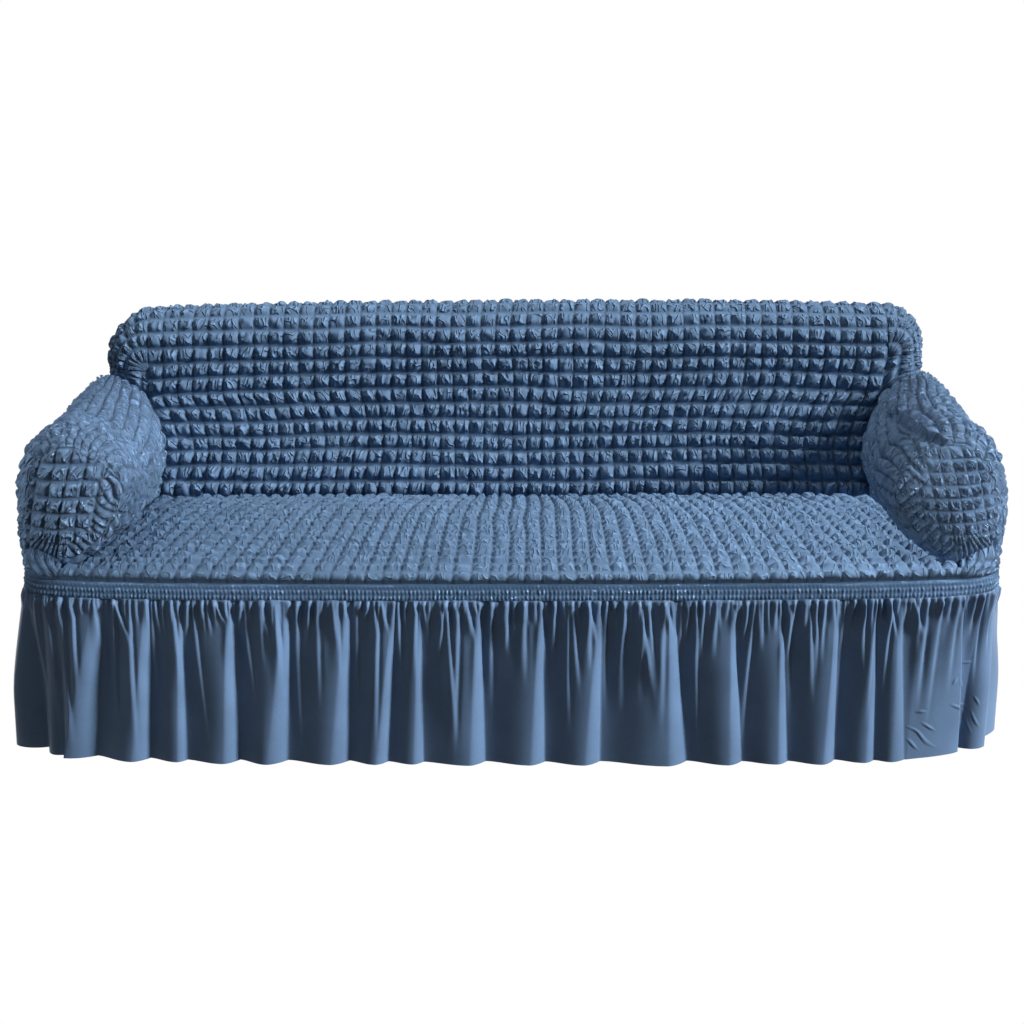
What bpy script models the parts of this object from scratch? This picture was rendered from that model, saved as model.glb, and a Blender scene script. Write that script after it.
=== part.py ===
"""A stretch slipcover for a three-seat sofa, hanging in the shape that it takes on the sofa.

Metres, +Z up, front towards -Y. The origin is on the floor under the middle of the cover.
Each piece of cloth is one closed sheet. Pieces meet at seams, a hair apart.
"""

import math
import random

import bpy
import numpy as np

OBJECT_NAME = "sofa_slipcover"

# Driving dimensions
SEAM_GAP = 0.0003
BODY_CLOTH = 0.003
BAND_CLOTH = 0.003
SKIRT_CLOTH = 0.002
SKIRT_TOP = 0.363
BAND_BOTTOM = SKIRT_TOP + SEAM_GAP
BAND_TOP = 0.398
WAIST_Z = BAND_TOP + SEAM_GAP
SEAT_Z = 0.420
CROWN_DROP = 0.012  # how much lower the top of the back is at its ends than in the middle

# Half of the waist from above, from the middle of the front to the middle of the rear: (name, x, y)
WAIST = (
    ("front_middle", 0.000, -0.458),
    ("front", 0.420, -0.456),
    ("front_outer", 0.800, -0.444),
    ("arm_inner", 0.925, -0.430),
    ("front_corner", 0.998, -0.400),
    ("side_front", 1.028, -0.310),
    ("side_middle", 1.038, 0.000),
    ("side_rear", 1.034, 0.310),
    ("rear_corner", 1.014, 0.428),
    ("rear_outer", 0.950, 0.448),
    ("rear", 0.500, 0.454),
    ("rear_middle", 0.000, 0.456),
)

# Sections across an arm, from its front seam to where it meets the back: (x, y, z) of each named line
ARM_LINES = ("base", "under", "bulge", "inner_top", "crest", "shoulder", "side", "foot")
ARM_SECTIONS = (
    ((0.925, -0.395, SEAT_Z), (0.862, -0.400, 0.462), (0.787, -0.402, 0.560), (0.806, -0.400, 0.632),
     (0.892, -0.397, 0.676), (0.968, -0.392, 0.622), (1.000, -0.388, 0.455), (0.998, -0.400, WAIST_Z)),
    ((0.922, -0.362, SEAT_Z), (0.855, -0.370, 0.462), (0.775, -0.370, 0.565), (0.800, -0.366, 0.650),
     (0.900, -0.358, 0.696), (0.990, -0.345, 0.640), (1.028, -0.335, 0.480), (1.020, -0.350, WAIST_Z)),
    ((0.908, -0.240, SEAT_Z), (0.850, -0.240, 0.460), (0.785, -0.240, 0.560), (0.815, -0.235, 0.650),
     (0.912, -0.220, 0.704), (1.010, -0.200, 0.645), (1.050, -0.190, 0.500), (1.034, -0.200, WAIST_Z)),
    ((0.888, -0.050, SEAT_Z), (0.850, -0.050, 0.460), (0.812, -0.045, 0.545), (0.840, -0.035, 0.645),
     (0.945, 0.000, 0.708), (1.025, 0.060, 0.660), (1.048, 0.100, 0.550), (1.038, 0.080, WAIST_Z)),
    ((0.862, 0.135, SEAT_Z), (0.856, 0.150, 0.468), (0.849, 0.170, 0.530), (0.893, 0.205, 0.648),
     (0.985, 0.235, 0.702), (1.014, 0.325, 0.690), (1.020, 0.436, 0.655), (1.014, 0.428, WAIST_Z)),
)

# The back in the middle, from the seat up over the roll to the rear seam: (name, y, z)
BACK_PROFILE = (
    ("crease", 0.135, SEAT_Z),
    ("low", 0.160, 0.500),
    ("middle", 0.184, 0.590),
    ("high", 0.202, 0.665),
    ("dart", 0.213, 0.715),
    ("upper", 0.226, 0.785),
    ("brow", 0.254, 0.840),
    ("apex", 0.304, 0.866),
    ("behind", 0.350, 0.857),
    ("rear_turn", 0.388, 0.836),
    ("rear_seam", 0.410, 0.802),
)

# Where the rows of cloth turn round each end of the back: side, x, height, and how far the end reaches
DARTS = {
    -1: {"x": 0.888, "z": 0.715, "reach": 1.00},
    1: {"x": 0.905, "z": 0.745, "reach": 0.84},
}
# The roll round an end, turned by 45 and by 90 degrees: (distance from the dart, y) at each profile line
END_CORNER = (
    (0.000, 0.213),
    (0.072, 0.228),
    (0.108, 0.262),
    (0.127, 0.306),
    (0.126, 0.350),
    (0.117, 0.390),
    (0.100, 0.414),
)
END_SIDE = (
    (0.000, 0.213),
    (0.066, 0.228),
    (0.100, 0.262),
    (0.120, 0.306),
    (0.128, 0.352),
    (0.131, 0.396),
    (0.130, 0.430),
)

# The seat from the back crease to the waist: (name, y, z) in the middle
SEAT_PROFILE = (
    ("crease", 0.135, SEAT_Z),
    ("rear", 0.050, 0.430),
    ("middle", -0.120, 0.434),
    ("front", -0.300, 0.433),
    ("edge", -0.420, 0.425),
    ("lip", -0.462, 0.409),
    ("waist", -0.458, WAIST_Z),
)
SEAT_LIP_AT_ARM = (0.925, -0.430, 0.412)
STRIP_PUFF = 0.012  # how far the strip under an arm front stands out
UNDER_FRONT_BOW = 0.006  # how far that strip's top edge bows up and out
FRONT_PUFF = 0.030  # how far the middle of an arm front stands out
FRONT_MIDDLE = (0.897, 0.550)  # x and z of that middle
REAR_PUFF = 0.008  # how far the outside back stands out
REAR_CORNER_SHARE = 0.08  # how much of the outside back's top edge bends to meet an arm

# The band's section, top to bottom: (name, z, how far it stands out)
BAND_PROFILE = (
    ("top", BAND_TOP, 0.0000),
    ("strip", 0.3925, 0.0020),
    ("upper_stitch", 0.3870, -0.0005),
    ("upper_row", 0.3815, 0.0030),
    ("lower_stitch", 0.3755, 0.0000),
    ("lower_row", 0.3695, 0.0030),
    ("bottom", BAND_BOTTOM, 0.0000),
)

# Main folds of the skirt round the front. Each has a steep side that faces right, from its crest to its
# valley: (valley under the band, valley at the hem, width of the steep side, depth), along the waist
# from the middle of the front.
FRONT_FOLDS = (
    (-1.015, -1.022, 0.034, 0.056),
    (-0.935, -0.950, 0.026, 0.014),
    (-0.834, -0.884, 0.056, 0.018),
    (-0.733, -0.764, 0.036, 0.016),
    (-0.667, -0.682, 0.020, 0.010),
    (-0.564, -0.570, 0.032, 0.016),
    (-0.443, -0.468, 0.042, 0.017),
    (-0.321, -0.338, 0.038, 0.016),
    (-0.227, -0.255, 0.026, 0.012),
    (-0.175, -0.180, 0.022, 0.010),
    (-0.054, -0.049, 0.034, 0.016),
    (0.074, 0.077, 0.032, 0.014),
    (0.194, 0.193, 0.034, 0.015),
    (0.340, 0.376, 0.042, 0.019),
    (0.461, 0.491, 0.030, 0.014),
    (0.558, 0.587, 0.024, 0.012),
    (0.674, 0.686, 0.030, 0.017),
    (0.752, 0.769, 0.022, 0.009),
    (0.803, 0.835, 0.030, 0.008),
    (0.908, 0.951, 0.020, 0.015),
    (1.045, 1.070, 0.030, 0.030),
    (1.120, 1.160, 0.030, 0.040),
)
# Folds that the photograph doesn't show, round the sides and the rear, are spaced out within these limits
HIDDEN_FOLD_SPACING = (0.085, 0.130)
HIDDEN_FOLD_WIDTH = (0.024, 0.040)
HIDDEN_FOLD_DEPTH = (0.012, 0.018)
GENTLE_STEPS = (0.0, 0.3, 0.6, 0.85)  # columns from a valley towards the next crest
STEEP_STEPS = (0.0, 0.45)  # columns from a crest towards its valley
SKIRT_ROWS = (0.0, 0.08, 0.24, 0.46, 0.72, 1.0)
# How far the hem stands out of the waist, on the whole: (name, place along the waist, reach)
HEM_REACH = (
    ("rear_left", -2.00, 0.000),
    ("side_left", -1.86, 0.035),
    ("corner_left", -1.08, 0.035),
    ("front_left", -0.96, 0.000),
    ("front_right", 0.84, 0.000),
    ("corner_right", 0.98, -0.032),
    ("past_corner_right", 1.08, 0.010),
    ("side_right", 1.20, 0.035),
    ("side_rear_right", 1.86, 0.035),
    ("rear_right", 2.00, 0.000),
)
KICK_SHARE = 0.45  # of that reach, how much the skirt gains at once under the band
KICK_DROP = 0.12
GATHERED_WIDTH = 0.35  # a fold's width under the band, as a share of its width at the hem
GATHERED_DEPTH = 0.12  # likewise its depth
FULL_DEPTH_DROP = 0.70  # where down the skirt the folds reach their full depth

NORMAL_PASSES = 3  # how often each point's normal is evened out with its neighbours'

# How finely the sheets are divided
ALONG_ARM = (0, 0.06, 0.14, 0.25, 0.38, 0.52, 0.66, 0.80, 0.91, 1)
FRONT_RINGS = (0, 0.12, 0.45, 1)
CREASE_STEPS = 7
ROLL_STEPS = 8
SIDE_STEPS = 4
ACROSS_STEPS = 20
ACROSS_BUNCHING = 1.2  # how much closer the columns stand towards the ends
TURN_STEPS = 4
STRIP_STEPS = 2
UNDER_FRONT_STEPS = 3
BAND_STEPS = 32
BAND_CORNER_PULL = 144  # how much closer the band's columns stand where the waist turns


def spline_weights(knots, places):
    """How much each knot's value counts at each place, in the natural cubic spline through all knots."""
    knots = np.asarray(knots, float)
    places = np.atleast_1d(np.asarray(places, float))
    count = len(knots)
    step = np.diff(knots)
    left = np.eye(count)
    right = np.zeros((count, count))
    for i in range(1, count - 1):
        left[i, i - 1 : i + 2] = step[i - 1], 2 * (step[i - 1] + step[i]), step[i]
        right[i, i - 1 : i + 2] = 6 / step[i - 1], -6 / step[i - 1] - 6 / step[i], 6 / step[i]
    bend = np.linalg.solve(left, right)
    span = np.clip(np.searchsorted(knots, places, side="right") - 1, 0, count - 2)
    after = (places - knots[span]) / step[span]
    before = 1 - after
    scale = step[span] ** 2 / 6
    weights = ((before**3 - before) * scale)[:, None] * bend[span]
    weights += ((after**3 - after) * scale)[:, None] * bend[span + 1]
    rows = np.arange(len(places))
    weights[rows, span] += before
    weights[rows, span + 1] += after
    return weights


def chord_knots(points):
    """Distances along a row of points, from 0 to 1."""
    steps = np.linalg.norm(np.diff(np.asarray(points, float), axis=0), axis=1)
    return np.concatenate([[0], np.cumsum(steps)]) / steps.sum()


def mix(a, b, share):
    return a + (b - a) * np.asarray(share)[..., None]


# Waist: places run from -1 (middle of the rear, by way of -X) through 0 (middle of the front) to 1
WAIST_HALF = np.array([row[1:] for row in WAIST])
HALF_KNOTS = chord_knots(WAIST_HALF)
WAIST_PLACE = dict(zip([row[0] for row in WAIST], HALF_KNOTS))
WAIST_KNOTS = np.concatenate([-HALF_KNOTS[:0:-1], HALF_KNOTS])
WAIST_POINTS = np.concatenate([WAIST_HALF[:0:-1] * (-1, 1), WAIST_HALF])
HALF_LENGTH = np.linalg.norm(np.diff(WAIST_HALF, axis=0), axis=1).sum()


def waist(place, z):
    xy = spline_weights(WAIST_KNOTS, place) @ WAIST_POINTS
    return np.column_stack([xy, np.full(len(xy), z)])


# Arms: along runs from the front seam, 0, to the back, 1; around runs from the seat, 0, to the waist, 1
ARM = np.array(ARM_SECTIONS)
ARM_ALONG = np.mean([chord_knots(ARM[:, i]) for i in range(len(ARM_LINES))], axis=0)
ARM_AROUND = np.mean([chord_knots(section) for section in ARM], axis=0)
ARM_PLACE = dict(zip(ARM_LINES, ARM_AROUND))


def arm(side, along, around):
    """Points on an arm; along and around are equally long lists."""
    weights_along = spline_weights(ARM_ALONG, along)
    weights_around = spline_weights(ARM_AROUND, around)
    points = np.einsum("ni,nj,ijk->nk", weights_along, weights_around, ARM)
    side_length = WAIST_PLACE["rear_corner"] - WAIST_PLACE["front_corner"]
    foot = waist(WAIST_PLACE["front_corner"] + side_length * np.asarray(along, float), WAIST_Z)
    loose_foot = np.einsum("ni,ik->nk", weights_along, ARM[:, -1])
    low = np.clip((np.asarray(around, float) - ARM_PLACE["side"]) / (1 - ARM_PLACE["side"]), 0, 1)
    points += (foot - loose_foot) * (low**2)[:, None]
    return points * (side, 1, 1)


def arm_rear(side, around):
    return arm(side, np.ones(len(around)), around)


# Back: up runs from the seat crease, 0, to the rear seam, 1
BACK = np.array([row[1:] for row in BACK_PROFILE])
BACK_KNOTS = chord_knots(BACK)
BACK_PLACE = dict(zip([row[0] for row in BACK_PROFILE], BACK_KNOTS))
ROLL_KNOTS = (BACK_KNOTS[4:] - BACK_KNOTS[4]) / (1 - BACK_KNOTS[4])


def dart(side):
    return np.array([side * DARTS[side]["x"], BACK[4][0], DARTS[side]["z"]])


def back_end(side, up):
    """The end of the back's face: up the crease with the arm, up the dart, then over the roll."""
    up = np.asarray(up, float)
    top_of_crease = BACK_PLACE["high"]
    top_of_dart = BACK_PLACE["dart"]
    around = np.clip(up / top_of_crease, 0, 1) * ARM_PLACE["inner_top"]
    crease = arm_rear(side, around)
    share = np.clip((up - top_of_crease) / (top_of_dart - top_of_crease), 0, 1)
    points = mix(crease, dart(side), share)
    y_z = spline_weights(BACK_KNOTS, np.maximum(up, top_of_dart)) @ BACK
    rise = np.clip((y_z[:, 1] - BACK[4][1]) / (BACK[7][1] - BACK[4][1]), 0, 1)
    lift = (DARTS[side]["z"] - BACK[4][1]) * (1 - rise)
    roll = np.column_stack([np.full(len(up), side * DARTS[side]["x"]), y_z])
    roll[:, 2] += lift - CROWN_DROP * rise
    behind = np.maximum(up, top_of_dart) > BACK_PLACE["apex"]
    roll[behind, 2] = y_z[behind, 1] - CROWN_DROP
    return np.where((up > top_of_dart)[:, None], roll, points)


def back(across, up):
    """Points on the back's face and top roll; across runs from -1 to 1 between its ends."""
    across = np.asarray(across, float)
    ends = np.where((across < 0)[:, None], back_end(-1, up), back_end(1, up))
    y_z = spline_weights(BACK_KNOTS, up) @ BACK
    weight = np.abs(across) ** 3
    points = np.column_stack([np.abs(across) * ends[:, 0], y_z])
    points[:, 1:] += (ends[:, 1:] - y_z) * weight[:, None]
    return points


def end_fan(side, turn, over):
    """The roll turned round the end's upper corner; turn runs from 0, up, to 1, sideways."""
    turn = np.asarray(turn, float)
    up = BACK_PLACE["dart"] + np.asarray(over, float) * (1 - BACK_PLACE["dart"])
    first = back_end(side, up)
    rolled = spline_weights(ROLL_KNOTS, over)
    reach = DARTS[side]["reach"]
    corner = rolled @ (np.array(END_CORNER) * (reach, 1))
    far = rolled @ (np.array(END_SIDE) * (reach, 1))
    start = np.column_stack([first[:, 2] - DARTS[side]["z"], first[:, 1]])
    a = (2 * (turn - 0.5) * (turn - 1))[:, None]
    b = (4 * turn * (1 - turn))[:, None]
    c = (2 * turn * (turn - 0.5))[:, None]
    distance, y = (a * start + b * corner + c * far).T
    angle = turn * math.pi / 2
    x = side * (DARTS[side]["x"] + distance * np.sin(angle))
    return np.column_stack([x, y, DARTS[side]["z"] + distance * np.cos(angle)])


def end_strip(side, down, over):
    """The short strip from the turned roll down to the arm's top seam."""
    upper = end_fan(side, np.ones(len(over)), over)
    around = ARM_PLACE["inner_top"] + np.asarray(over, float) * (ARM_PLACE["side"] - ARM_PLACE["inner_top"])
    return mix(upper, arm_rear(side, around), down)


# Seat: forward runs from the back crease, 0, to the waist, 1
SEAT = np.array([row[1:] for row in SEAT_PROFILE])
SEAT_KNOTS = chord_knots(SEAT)
SEAT_PLACE = dict(zip([row[0] for row in SEAT_PROFILE], SEAT_KNOTS))


def seat_end(side, forward):
    """The end of the seat: along the arm's base, then down to the waist beside the strip."""
    forward = np.asarray(forward, float)
    edge = SEAT_PLACE["edge"]
    along = 1 - np.clip(forward / edge, 0, 1)
    base = arm(side, along, np.zeros(len(forward)))
    corner = ARM[0, 0] * (side, 1, 1)
    foot = waist([side * WAIST_PLACE["arm_inner"]], WAIST_Z)[0]
    lip = np.array(SEAT_LIP_AT_ARM) * (side, 1, 1)
    knots = (edge, SEAT_PLACE["lip"], 1)
    front = spline_weights(knots, np.maximum(forward, edge)) @ np.array([corner, lip, foot])
    return np.where((forward > edge)[:, None], front, base)


def seat(across, forward):
    across = np.asarray(across, float)
    forward = np.asarray(forward, float)
    ends = np.where((across < 0)[:, None], seat_end(-1, forward), seat_end(1, forward))
    y_z = spline_weights(SEAT_KNOTS, forward) @ SEAT
    points = np.column_stack([np.abs(across) * ends[:, 0], y_z])
    points[:, 1:] += (ends[:, 1:] - y_z) * (across**2)[:, None]
    fall = np.clip((forward - SEAT_PLACE["edge"]) / (1 - SEAT_PLACE["edge"]), 0, 1)
    foot = waist(across * WAIST_PLACE["arm_inner"], WAIST_Z)
    last = np.ones(len(across))
    low_end = np.where((across < 0)[:, None], seat_end(-1, last), seat_end(1, last))
    loose_foot = np.column_stack([np.abs(across) * low_end[:, 0], np.tile(SEAT[-1], (len(across), 1))])
    loose_foot[:, 1:] += (low_end[:, 1:] - SEAT[-1]) * (across**2)[:, None]
    return points + (foot - loose_foot) * (fall**2)[:, None]


def under_front(side, outward):
    """The lower edge of an arm front, from its inner to its outer corner."""
    outward = np.asarray(outward, float)
    inner = arm(side, [0], [0])[0]
    outer = arm(side, [0], [ARM_PLACE["side"]])[0]
    bow = UNDER_FRONT_BOW * np.sin(outward * math.pi)
    return mix(inner, outer, outward) + np.outer(bow, (0, -1, 1))


def seat_strip(side, outward, down):
    """The strip of seat cloth that runs under an arm front."""
    outward = np.asarray(outward, float)
    down = np.asarray(down, float)
    inner_place = WAIST_PLACE["arm_inner"]
    outer_place = WAIST_PLACE["front_corner"]

    def loose(share):
        foot = waist(side * (inner_place + share * (outer_place - inner_place)), WAIST_Z)
        points = mix(under_front(side, share), foot, down)
        points[:, 1] -= STRIP_PUFF * np.sin(down * math.pi)
        return points

    # The loose strip is bent at both ends to meet its neighbours.
    edge = SEAT_PLACE["edge"]
    inner = seat_end(side, edge + down * (1 - edge))
    outer = arm(side, np.zeros(len(down)), ARM_PLACE["side"] + down * (1 - ARM_PLACE["side"]))
    points = loose(outward)
    points += (inner - loose(np.zeros(len(down)))) * (1 - outward)[:, None]
    return points + (outer - loose(np.ones(len(down)))) * outward[:, None]


def arm_front(side, edge, inward):
    """Points on an arm front, from its edge to its middle, standing out towards the middle."""
    middle = np.array([side * FRONT_MIDDLE[0], edge[:, 1].mean() - FRONT_PUFF, FRONT_MIDDLE[1]])
    points = mix(edge, middle, inward)
    inward = np.asarray(inward, float)
    points[:, 1] = edge[:, 1] + (middle[1] - edge[:, 1]) * np.sin(inward * math.pi / 2)
    return points


class Shell:
    """All the body's panels, sharing the points of their seams, so that they share normals there."""

    def __init__(self):
        self.number = {}
        self.points = []
        self.panels = {}

    def vertex(self, point):
        key = tuple(int(round(c * 1e6)) for c in point)
        if key not in self.number:
            self.number[key] = len(self.points)
            self.points.append(np.array(point, float))
        return self.number[key]

    def add(self, panel, triangles, facing=(0, 0, 0)):
        """Adds triangles, given as points, turned so that on the whole they face one way."""
        normals = np.cross(triangles[:, 1] - triangles[:, 0], triangles[:, 2] - triangles[:, 0])
        if normals.sum(axis=0) @ np.array(facing, float) < 0:
            triangles = triangles[:, ::-1]
        rows = self.panels.setdefault(panel, [])
        for triangle in triangles:
            corners = [self.vertex(point) for point in triangle]
            if len(set(corners)) == 3:
                rows.append(corners)

    def normals(self, level_at):
        """Each point's normal, evened out with its neighbours' and made level at the given heights."""
        points = np.array(self.points)
        normals = np.zeros_like(points)
        a, b, c = np.concatenate([np.array(rows) for rows in self.panels.values()]).T
        face = np.cross(points[b] - points[a], points[c] - points[a])
        for corner in (a, b, c):
            np.add.at(normals, corner, face)
        normals /= np.linalg.norm(normals, axis=1)[:, None]
        for _ in range(NORMAL_PASSES):
            around = normals[a] + normals[b] + normals[c]
            for corner in (a, b, c):
                np.add.at(normals, corner, around)
            normals /= np.linalg.norm(normals, axis=1)[:, None]
        for height in level_at:
            normals[np.abs(points[:, 2] - height) < 1e-6, 2] = 0
        return normals / np.linalg.norm(normals, axis=1)[:, None]


def grid_triangles(points, rows, columns):
    """Triangles of a grid of points that is given row by row."""
    grid = points.reshape(rows, columns, 3)
    a, b = grid[:-1, :-1], grid[:-1, 1:]
    c, d = grid[1:, 1:], grid[1:, :-1]
    halves = [np.stack([a, b, c], 2), np.stack([a, c, d], 2)]
    return np.concatenate([half.reshape(-1, 3, 3) for half in halves])


def patch(surface, first, second):
    """Triangles of surface(first, second) over every pair of the two lists."""
    one, two = np.meshgrid(first, second, indexing="ij")
    return grid_triangles(surface(one.ravel(), two.ravel()), len(first), len(second))


def thicken(points, triangles, normals, thickness, gap):
    """A closed sheet: its outer points, pulled in from its edges by half a gap, and inner ones under them."""
    triangles = np.array(triangles)
    used = np.unique(triangles)
    renumber = {old: new for new, old in enumerate(used)}
    faces = [[renumber[i] for i in row] for row in triangles]
    outer = points[used].copy()
    normal = normals[used]
    directed = {(row[i], row[(i + 1) % 3]) for row in faces for i in range(3)}
    rim = [(a, b) for a, b in directed if (b, a) not in directed]
    pulls = {}
    for a, b in sorted(rim):
        for i in (a, b):
            inward = np.cross(normal[i], outer[b] - outer[a])
            pulls.setdefault(i, []).append(inward / np.linalg.norm(inward))
    for i, directions in pulls.items():
        total = np.sum(directions, axis=0)
        outer[i] += total / max(total @ directions[0], 0.3) * gap / 2
    inner = outer - normal * thickness
    count = len(used)
    faces += [[a + count, c + count, b + count] for a, b, c in faces]
    for a, b in sorted(rim):
        # Both sides of a seam split its rim the same way, so that they lie flush.
        if used[a] < used[b]:
            faces += [[b, a, b + count], [a, a + count, b + count]]
        else:
            faces += [[b, a, a + count], [b, a + count, b + count]]
    return np.concatenate([outer, inner]), faces


def add_object(name, points, faces, material, collection):
    mesh = bpy.data.meshes.new(name)
    mesh.from_pydata([tuple(point) for point in points], [], faces)
    mesh.update()
    mesh.shade_smooth()
    mesh.set_sharp_from_angle(angle=math.radians(50))
    mesh.materials.append(material)
    piece = bpy.data.objects.new(name, mesh)
    collection.objects.link(piece)
    return piece


def cloth_material(name, colour, roughness):
    material = bpy.data.materials.new(name)
    material.use_nodes = True
    shader = material.node_tree.nodes["Principled BSDF"]
    shader.inputs["Base Color"].default_value = (*colour, 1)
    shader.inputs["Roughness"].default_value = roughness
    shader.inputs["Metallic"].default_value = 0
    return material


def steps(start, end, count):
    return np.linspace(start, end, count + 1)


def body_shell():
    """Every panel above the waist, with shared places along the seams."""
    inner_top, side_line = ARM_PLACE["inner_top"], ARM_PLACE["side"]
    high, dart_height = BACK_PLACE["high"], BACK_PLACE["dart"]
    edge = SEAT_PLACE["edge"]
    over = steps(0, 1, ROLL_STEPS)
    down = steps(0, 1, SIDE_STEPS)
    turn = steps(0, 1, TURN_STEPS)
    strip_down = steps(0, 1, STRIP_STEPS)
    outward = steps(0, 1, UNDER_FRONT_STEPS)
    along = np.array(ALONG_ARM)
    across = np.sin(steps(-1, 1, ACROSS_STEPS) * ACROSS_BUNCHING) / math.sin(ACROSS_BUNCHING)
    around_front = np.concatenate([
        steps(0, inner_top, CREASE_STEPS),
        (inner_top + over * (side_line - inner_top))[1:],
    ])
    around = np.concatenate([around_front, (side_line + down * (1 - side_line))[1:]])
    up = np.concatenate([
        steps(0, high, CREASE_STEPS),
        steps(high, dart_height, STRIP_STEPS)[1:],
        (dart_height + over * (1 - dart_height))[1:],
    ])
    forward = np.concatenate([(1 - along)[::-1] * edge, (edge + down * (1 - edge))[1:]])

    shell = Shell()
    shell.add("inside_back", patch(back, across, up), (0, -1, 0))
    shell.add("seat", patch(seat, across, forward), (0, 0, 1))
    for side, name in ((-1, "left"), (1, "right")):
        fan = patch(lambda a, b: end_fan(side, a, b), turn, over)
        shell.add("inside_back", fan, (side, 0, 1))
        strip = patch(lambda a, b: end_strip(side, a, b), strip_down, over)
        shell.add("inside_back", strip, (side, -0.5, 0))
        under = patch(lambda a, b: seat_strip(side, a, b), outward, down)
        shell.add("seat", under, (0, -1, 0))
        shell.add("arm_" + name, patch(lambda a, b: arm(side, a, b), along, around), (0, 0, 1))
        shell.add(f"arm_{name}_front", arm_front_triangles(side, around_front, outward), (0, -1, 0))
    shell.add("outside_back", outside_back_triangles(across, turn, strip_down, down), (0, 1, 0))
    return shell


def arm_front_triangles(side, around, outward):
    seam = arm(side, np.zeros(len(around)), around)
    lower = under_front(side, outward[::-1])
    edge = np.concatenate([seam, lower[1:]])
    points = np.concatenate([arm_front(side, edge, np.full(len(edge), ring)) for ring in FRONT_RINGS])
    return grid_triangles(points, len(FRONT_RINGS), len(edge))


def rear_seam(across, turn, strip_down):
    """The top edge of the outside back: up one end, along the roll and down the other end."""
    ends = {}
    for side in (-1, 1):
        strip = end_strip(side, strip_down[::-1], np.ones(len(strip_down)))
        fan = end_fan(side, turn[::-1], np.ones(len(turn)))
        ends[side] = np.concatenate([strip, fan[1:]])
    middle = back(across, np.ones(len(across)))
    return np.concatenate([ends[-1], middle[1:-1], ends[1][::-1]])


def outside_back_triangles(across, turn, strip_down, down):
    top = rear_seam(across, turn, strip_down)
    share = chord_knots(top)
    corner = WAIST_PLACE["rear_corner"]
    place = -corner - share * 2 * (1 - corner)
    place = np.where(place < -1, place + 2, place)
    foot = waist(place, WAIST_Z)
    puff = REAR_PUFF * np.sin(share * math.pi).clip(0) ** 0.5
    rows = []
    for level in down:
        row = mix(top, foot, np.full(len(top), level))
        row[:, 1] += puff * math.sin(level * math.pi)
        around = ARM_PLACE["side"] + level * (1 - ARM_PLACE["side"])
        for end, from_end in ((0, share), (-1, 1 - share)):
            side = np.sign(top[end, 0])
            near = np.clip(1 - from_end / REAR_CORNER_SHARE, 0, 1)
            row += np.outer(near, arm_rear(side, [around])[0] - row[end])
        rows.append(row)
    return grid_triangles(np.concatenate(rows), len(rows), len(top))


def ring_triangles(points, rows, columns):
    """Triangles of a closed ring of points that is given row by row."""
    grid = points.reshape(rows, columns, 3)
    triangles = grid_triangles(np.concatenate([grid, grid[:, :1]], 1).reshape(-1, 3), rows, columns + 1)
    return triangles[:, ::-1]


def outward_of(places):
    """Unit vectors that point out of the waist, seen from above."""
    reach = 1e-4
    run = waist(places + reach, 0) - waist(places - reach, 0)
    out = np.column_stack([run[:, 1], -run[:, 0], run[:, 2]])
    return out / np.linalg.norm(out, axis=1)[:, None]


def band_points(places):
    out = outward_of(places)
    return np.concatenate([waist(places, z) + out * stand for _, z, stand in BAND_PROFILE])


def all_folds():
    """Every main fold round the skirt, in order along the waist."""
    dice = random.Random(7)
    folds = list(FRONT_FOLDS)
    place = FRONT_FOLDS[-1][1]
    last = FRONT_FOLDS[0][1] + 2 * HALF_LENGTH - 1.6 * HIDDEN_FOLD_SPACING[1]
    while place < last:
        place += dice.uniform(*HIDDEN_FOLD_SPACING)
        width = dice.uniform(*HIDDEN_FOLD_WIDTH)
        folds.append((place, place, width, dice.uniform(*HIDDEN_FOLD_DEPTH)))
    return np.array(folds)


def smooth(share):
    return share * share * (3 - 2 * share)


def flare(length, drop):
    """How far the skirt stands out of the waist, at places along it and at a drop below the band."""
    place = (length + HALF_LENGTH) % (2 * HALF_LENGTH) - HALF_LENGTH
    reach = np.interp(place, [row[1] for row in HEM_REACH], [row[2] for row in HEM_REACH])
    return reach * (KICK_SHARE * (1 - math.exp(-drop / KICK_DROP)) + (1 - KICK_SHARE) * drop)


def skirt_points():
    """Rows of points down the skirt, with the columns on its folds."""
    folds = all_folds()
    rows = []
    for drop in SKIRT_ROWS:
        valley = folds[:, 0] + (folds[:, 1] - folds[:, 0]) * drop
        width = folds[:, 2] * (GATHERED_WIDTH + (1 - GATHERED_WIDTH) * drop)
        opened = smooth(min(1, drop / FULL_DEPTH_DROP))
        depth = folds[:, 3] * (GATHERED_DEPTH + (1 - GATHERED_DEPTH) * opened)
        crest = valley - width
        last_valley = np.concatenate([[valley[-1] - 2 * HALF_LENGTH], valley[:-1]])
        last_depth = np.concatenate([depth[-1:], depth[:-1]])
        lengths, heights = [], []
        for step in GENTLE_STEPS:
            lengths.append(last_valley + (crest - last_valley) * step)
            heights.append(-last_depth / 2 + (depth + last_depth) / 2 * smooth(step))
        for step in STEEP_STEPS:
            lengths.append(crest + width * step)
            heights.append(depth / 2 - depth * smooth(step))
        length = np.stack(lengths, 1).ravel()
        height = np.stack(heights, 1).ravel() + flare(length, drop)
        place = (length / HALF_LENGTH + 1) % 2 - 1
        rows.append(waist(place, SKIRT_TOP * (1 - drop)) + outward_of(place) * height[:, None])
    return rows


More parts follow.
